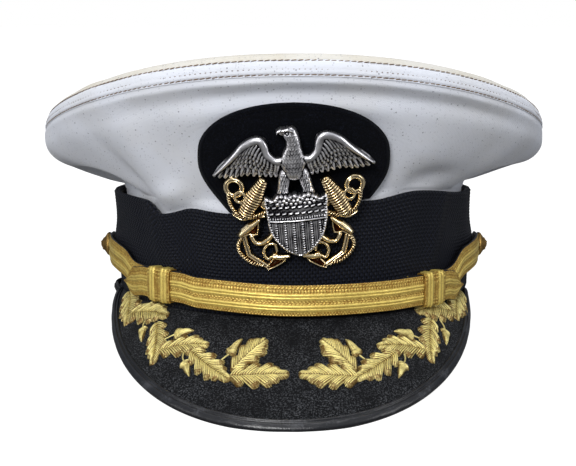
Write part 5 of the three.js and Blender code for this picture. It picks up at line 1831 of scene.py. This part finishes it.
def on_visor(base, tip_at, bow):
    """A map from a motif's own length and side, in millimetres, to the visor's face."""
    base, tip_at = np.array(base, float), np.array(tip_at, float)
    length = np.hypot(*(tip_at - base))
    along = (tip_at - base) / length
    beside = np.array([-along[1], along[0]])

    def place(points):
        u, v, high = np.moveaxis(points, -1, 0)
        v = v + bow * length * np.sin(np.pi * np.clip(u / length, 0, 1))
        flat = base + along * u[..., None] + beside * v[..., None]
        point, normal = VISOR_FACE.at(flat[..., 0], flat[..., 1])
        return point + normal * high[..., None]

    return place, length


def read_grid(relief, values, x, y):
    """A relief's value at any place, blended between its grid's points."""
    across = np.clip((x - relief.x[0, 0]) / relief.step, 0, relief.x.shape[0] - 1.001)
    up = np.clip((y - relief.y[0, 0]) / relief.step, 0, relief.x.shape[1] - 1.001)
    return blended(values, across, up)


def lay_thread(lines, relief, place, start, angle, reach, random):
    """One thread from its start to where it leaves the padding."""
    run = spaced(0, reach, 60)
    u = start[0] + run * math.cos(angle)
    v = start[1] + run * math.sin(angle)
    inside = read_grid(relief, relief.inside, u, v)
    outside = np.nonzero(inside < 0.05)[0]
    last = run[outside[0]] if len(outside) else reach
    if last < 0.8:
        return
    last += random.uniform(-0.1, 0.25)
    steps = spaced(0, last, 8)
    u = start[0] + steps * math.cos(angle)
    v = start[1] + steps * math.sin(angle) + 0.05 * np.sin(steps)
    high = read_grid(relief, relief.height, u, v)
    drop = 1 - (steps / last) ** 6
    high = 0.12 + np.maximum(high - 0.12, 0) * drop + THREAD["radius"] * 0.35 * drop
    thick = THREAD["radius"] * (1 - 0.3 * (steps / last) ** 8) * random.uniform(0.92, 1.08)
    # Higher threads get more of the bright colour: painted light, with a random tone per thread.
    shine = np.clip(0.26 + high / EMBROIDERY_HEIGHT * 0.7 + random.uniform(-0.26, 0.26), 0, 1)
    lines.add(place(np.stack([u, v, high], -1)), thick, shine)


def pad(relief, place, name):
    """The padding under the threads."""
    shape = Shape()
    relief.close(shape, place, back=-0.5, edge=0.55)
    # The padding seen between the threads takes the dark colour: painted shade.
    shape.crests[0] = shape.crests[0] * 0 + 0.1
    return shape.piece(name, GOLD_THREAD)


def finish_motif(kind, side, number, lines, relief, place):
    """Joins the threads of one leaf or acorn with the padding under them."""
    half_name = "left" if side < 0 else "right"
    name = f"{kind}_{half_name}_{number}"
    threads = lines.threads(name + "_threads", GOLD_THREAD)
    made = joined(name + "_embroidery", [threads, pad(relief, place, name + "_pad")])
    return finish_piece(made, "gold_thread", name)


def make_leaf(side, number, base, tip_at, width, bow):
    place, length = on_visor(base, tip_at, bow)
    random = np.random.default_rng(10 * number + side + 3)
    relief = Struck(-2.5, length + 2.5, -width, width, 0.45)
    half = width * LEAF_FILL[number] / 2
    for root, out in LOBES:
        angle = leaf_angle(root)
        start = root * length
        for hand in (-1, 1):
            root_radius, end_radius = half * 0.26, half * 0.3
            reach = (half * out - end_radius * 0.8) / math.sin(angle)
            end = (start + reach * math.cos(angle), hand * reach * math.sin(angle))
            relief.stroke([(start, 0), end], [root_radius, end_radius], 0.1, EMBROIDERY_HEIGHT - 0.1)
    midrib = [(0.8, 0), (length - half * 0.3, 0)]
    relief.stroke(midrib, [half * 0.2, half * 0.5, half * 0.3], 0.1, EMBROIDERY_HEIGHT - 0.4)
    groove = 0.7 * hump(relief.y, 0.5)
    relief.height = np.maximum(relief.height - groove, 0.1)
    lines = Lines()
    for start in np.arange(-0.5, length - 1.2, THREAD["apart"] / math.sin(leaf_angle(0.4))):
        share = max(start, 0) / length
        for hand in (-1, 1):
            angle = hand * float(leaf_angle(share))
            lay_thread(lines, relief, place, (start, hand * 0.22), angle, half * 2.4, random)
    return finish_motif("oak_leaf", side, number, lines, relief, place)


def make_acorn(side, number, base, tip_at, width, stem):
    place, length = on_visor(base, tip_at, 0)
    random = np.random.default_rng(100 + 10 * number + side)
    relief = Struck(-2, length + 2, -width, width, 0.36)
    half, length = width * ACORN_FILL / 2, length * 0.9
    cup_end = length * 0.36
    relief.stroke([(cup_end * 0.5, -half * 0.5), (cup_end * 0.5, half * 0.5)], [half * 0.62], 0.1, 1.0)
    relief.stroke([(cup_end, 0), (length, 0)], [half * 0.72, half * 0.6, half * 0.12], 0.1, 1.1)
    lines = Lines()
    for offset in np.arange(-half * 0.66, half * 0.7, 0.5):
        steep = -0.85 * offset / (length - cup_end)
        lay_thread(lines, relief, place, (cup_end * 0.95, offset), steep, length, random)
    for start in np.arange(0, cup_end, 0.5):
        for hand in (-1, 1):
            lay_thread(lines, relief, place, (start, 0), hand * 1.15, half * 2.2, random)
    base, stem = np.array(base, float), np.array(stem, float)
    flat = lerp(stem, base, spaced(0, 1, 8)[:, None])
    flat[:, 0] += 0.5 * side * np.sin(np.pi * spaced(0, 1, 8))
    point, normal = VISOR_FACE.at(flat[:, 0], flat[:, 1])
    lines.add(point + normal * 0.25, 0.34, 0.8)
    return finish_motif("acorn", side, number, lines, relief, place)


# Camera, light and floor


def aim(made, target):
    direction = Vector(target) - made.location
    made.rotation_euler = direction.to_track_quat("-Z", "Y").to_euler()


def add_light(name, place, size, power):
    light = bpy.data.lights.new(name, "AREA")
    light.size = size
    light.energy = power
    made = add_object(name, light)
    made.location = place
    aim(made, STUDIO["middle"])
    return made


STUDIO = {
    "middle": (0, 0, 0.07), "horizon": (0.07, 0.08, 0.1), "zenith": (0.5, 0.52, 0.56),
    "paper": 0.15, "paper_glow": 1.0,
}
# Soft lights: name, place in metres, width, power in watts.
LIGHTS = [
    ("key_softbox", (-0.3, -1.18, 0.7), 0.4, 11.4),
    ("right_softbox", (1.1, -0.5, 0.5), 0.5, 3),
    ("left_softbox", (-1.2, -0.5, 0.3), 0.5, 1.8),
    ("top_softbox", (0.0, 0.0, 1.4), 0.9, 6.5),
]
# The camera fitted to the photograph: place in metres, degrees down, millimetres, share of the picture.
CAMERA = {
    "place": (0, -0.46171, 0.15192), "down": 14.19, "lens": 59.03, "sensor": 36, "shift": -6 / 576,
}


def make_studio():
    camera = bpy.data.cameras.new("camera")
    camera.lens = CAMERA["lens"]
    camera.sensor_width = CAMERA["sensor"]
    camera.shift_x = CAMERA["shift"]
    viewer = add_object("camera", camera)
    viewer.location = CAMERA["place"]
    viewer.rotation_euler = (math.radians(90 - CAMERA["down"]), 0, 0)
    bpy.context.scene.camera = viewer
    world = bpy.data.worlds.new("studio")
    world.use_nodes = True
    w = Wiring(world.node_tree)
    back = world.node_tree.nodes["Background"]
    up = w.node("ShaderNodeSeparateXYZ", {0: w.node("ShaderNodeTexCoord").outputs["Generated"]}).outputs[2]
    light = w.blend(w.between(up, 0.0, 0.8), (*STUDIO["horizon"], 1), (*STUDIO["zenith"], 1))
    seen_straight = w.node("ShaderNodeLightPath").outputs["Is Camera Ray"]
    world.node_tree.links.new(w.blend(seen_straight, light, (1, 1, 1, 1)), back.inputs[0])
    bpy.context.scene.world = world
    bpy.context.scene.view_settings.view_transform = "Standard"
    for light_name, place, size, power in LIGHTS:
        add_light(light_name, place, size, power)
    mesh = bpy.data.meshes.new("floor")
    reach = 4
    corners = [(-reach, -reach, 0), (reach, -reach, 0), (reach, reach, 0), (-reach, reach, 0)]
    mesh.from_pydata(corners, [], [(0, 1, 2, 3)])
    f = Finish("floor_paper", Roughness=0.9, Emission_Strength=1.0)
    tone = STUDIO["paper"]
    grain = f.noise(f.object_place, 60, 3)
    f.feed("Base Color", f.blend(grain, (tone, tone, tone, 1), (tone + 0.03,) * 3 + (1,)))
    seen = f.node("ShaderNodeLightPath").outputs["Is Camera Ray"]
    glow = STUDIO["paper_glow"]
    f.feed("Emission Color", f.blend(seen, (0, 0, 0, 1), (glow, glow, glow, 1)))
    mesh.materials.append(f.material)
    add_object("floor", mesh)


make_studio()
make_hatband()
make_crown_side()
make_crown_welt()
make_crown_top()
make_patch()
make_visor()
make_binding()
make_front_strap()
for side_name, turn, height in SLIDES:
    side = 1 if turn > 0 else -1
    make_side_strap(side_name, height, side)
    make_slide(side_name, turn, height)
    make_button(side_name, side)
make_crown_stitches()
make_anchors()
make_eagle()
for leaf in LEAVES:
    make_leaf(*leaf)
for acorn in ACORNS:
    make_acorn(*acorn)
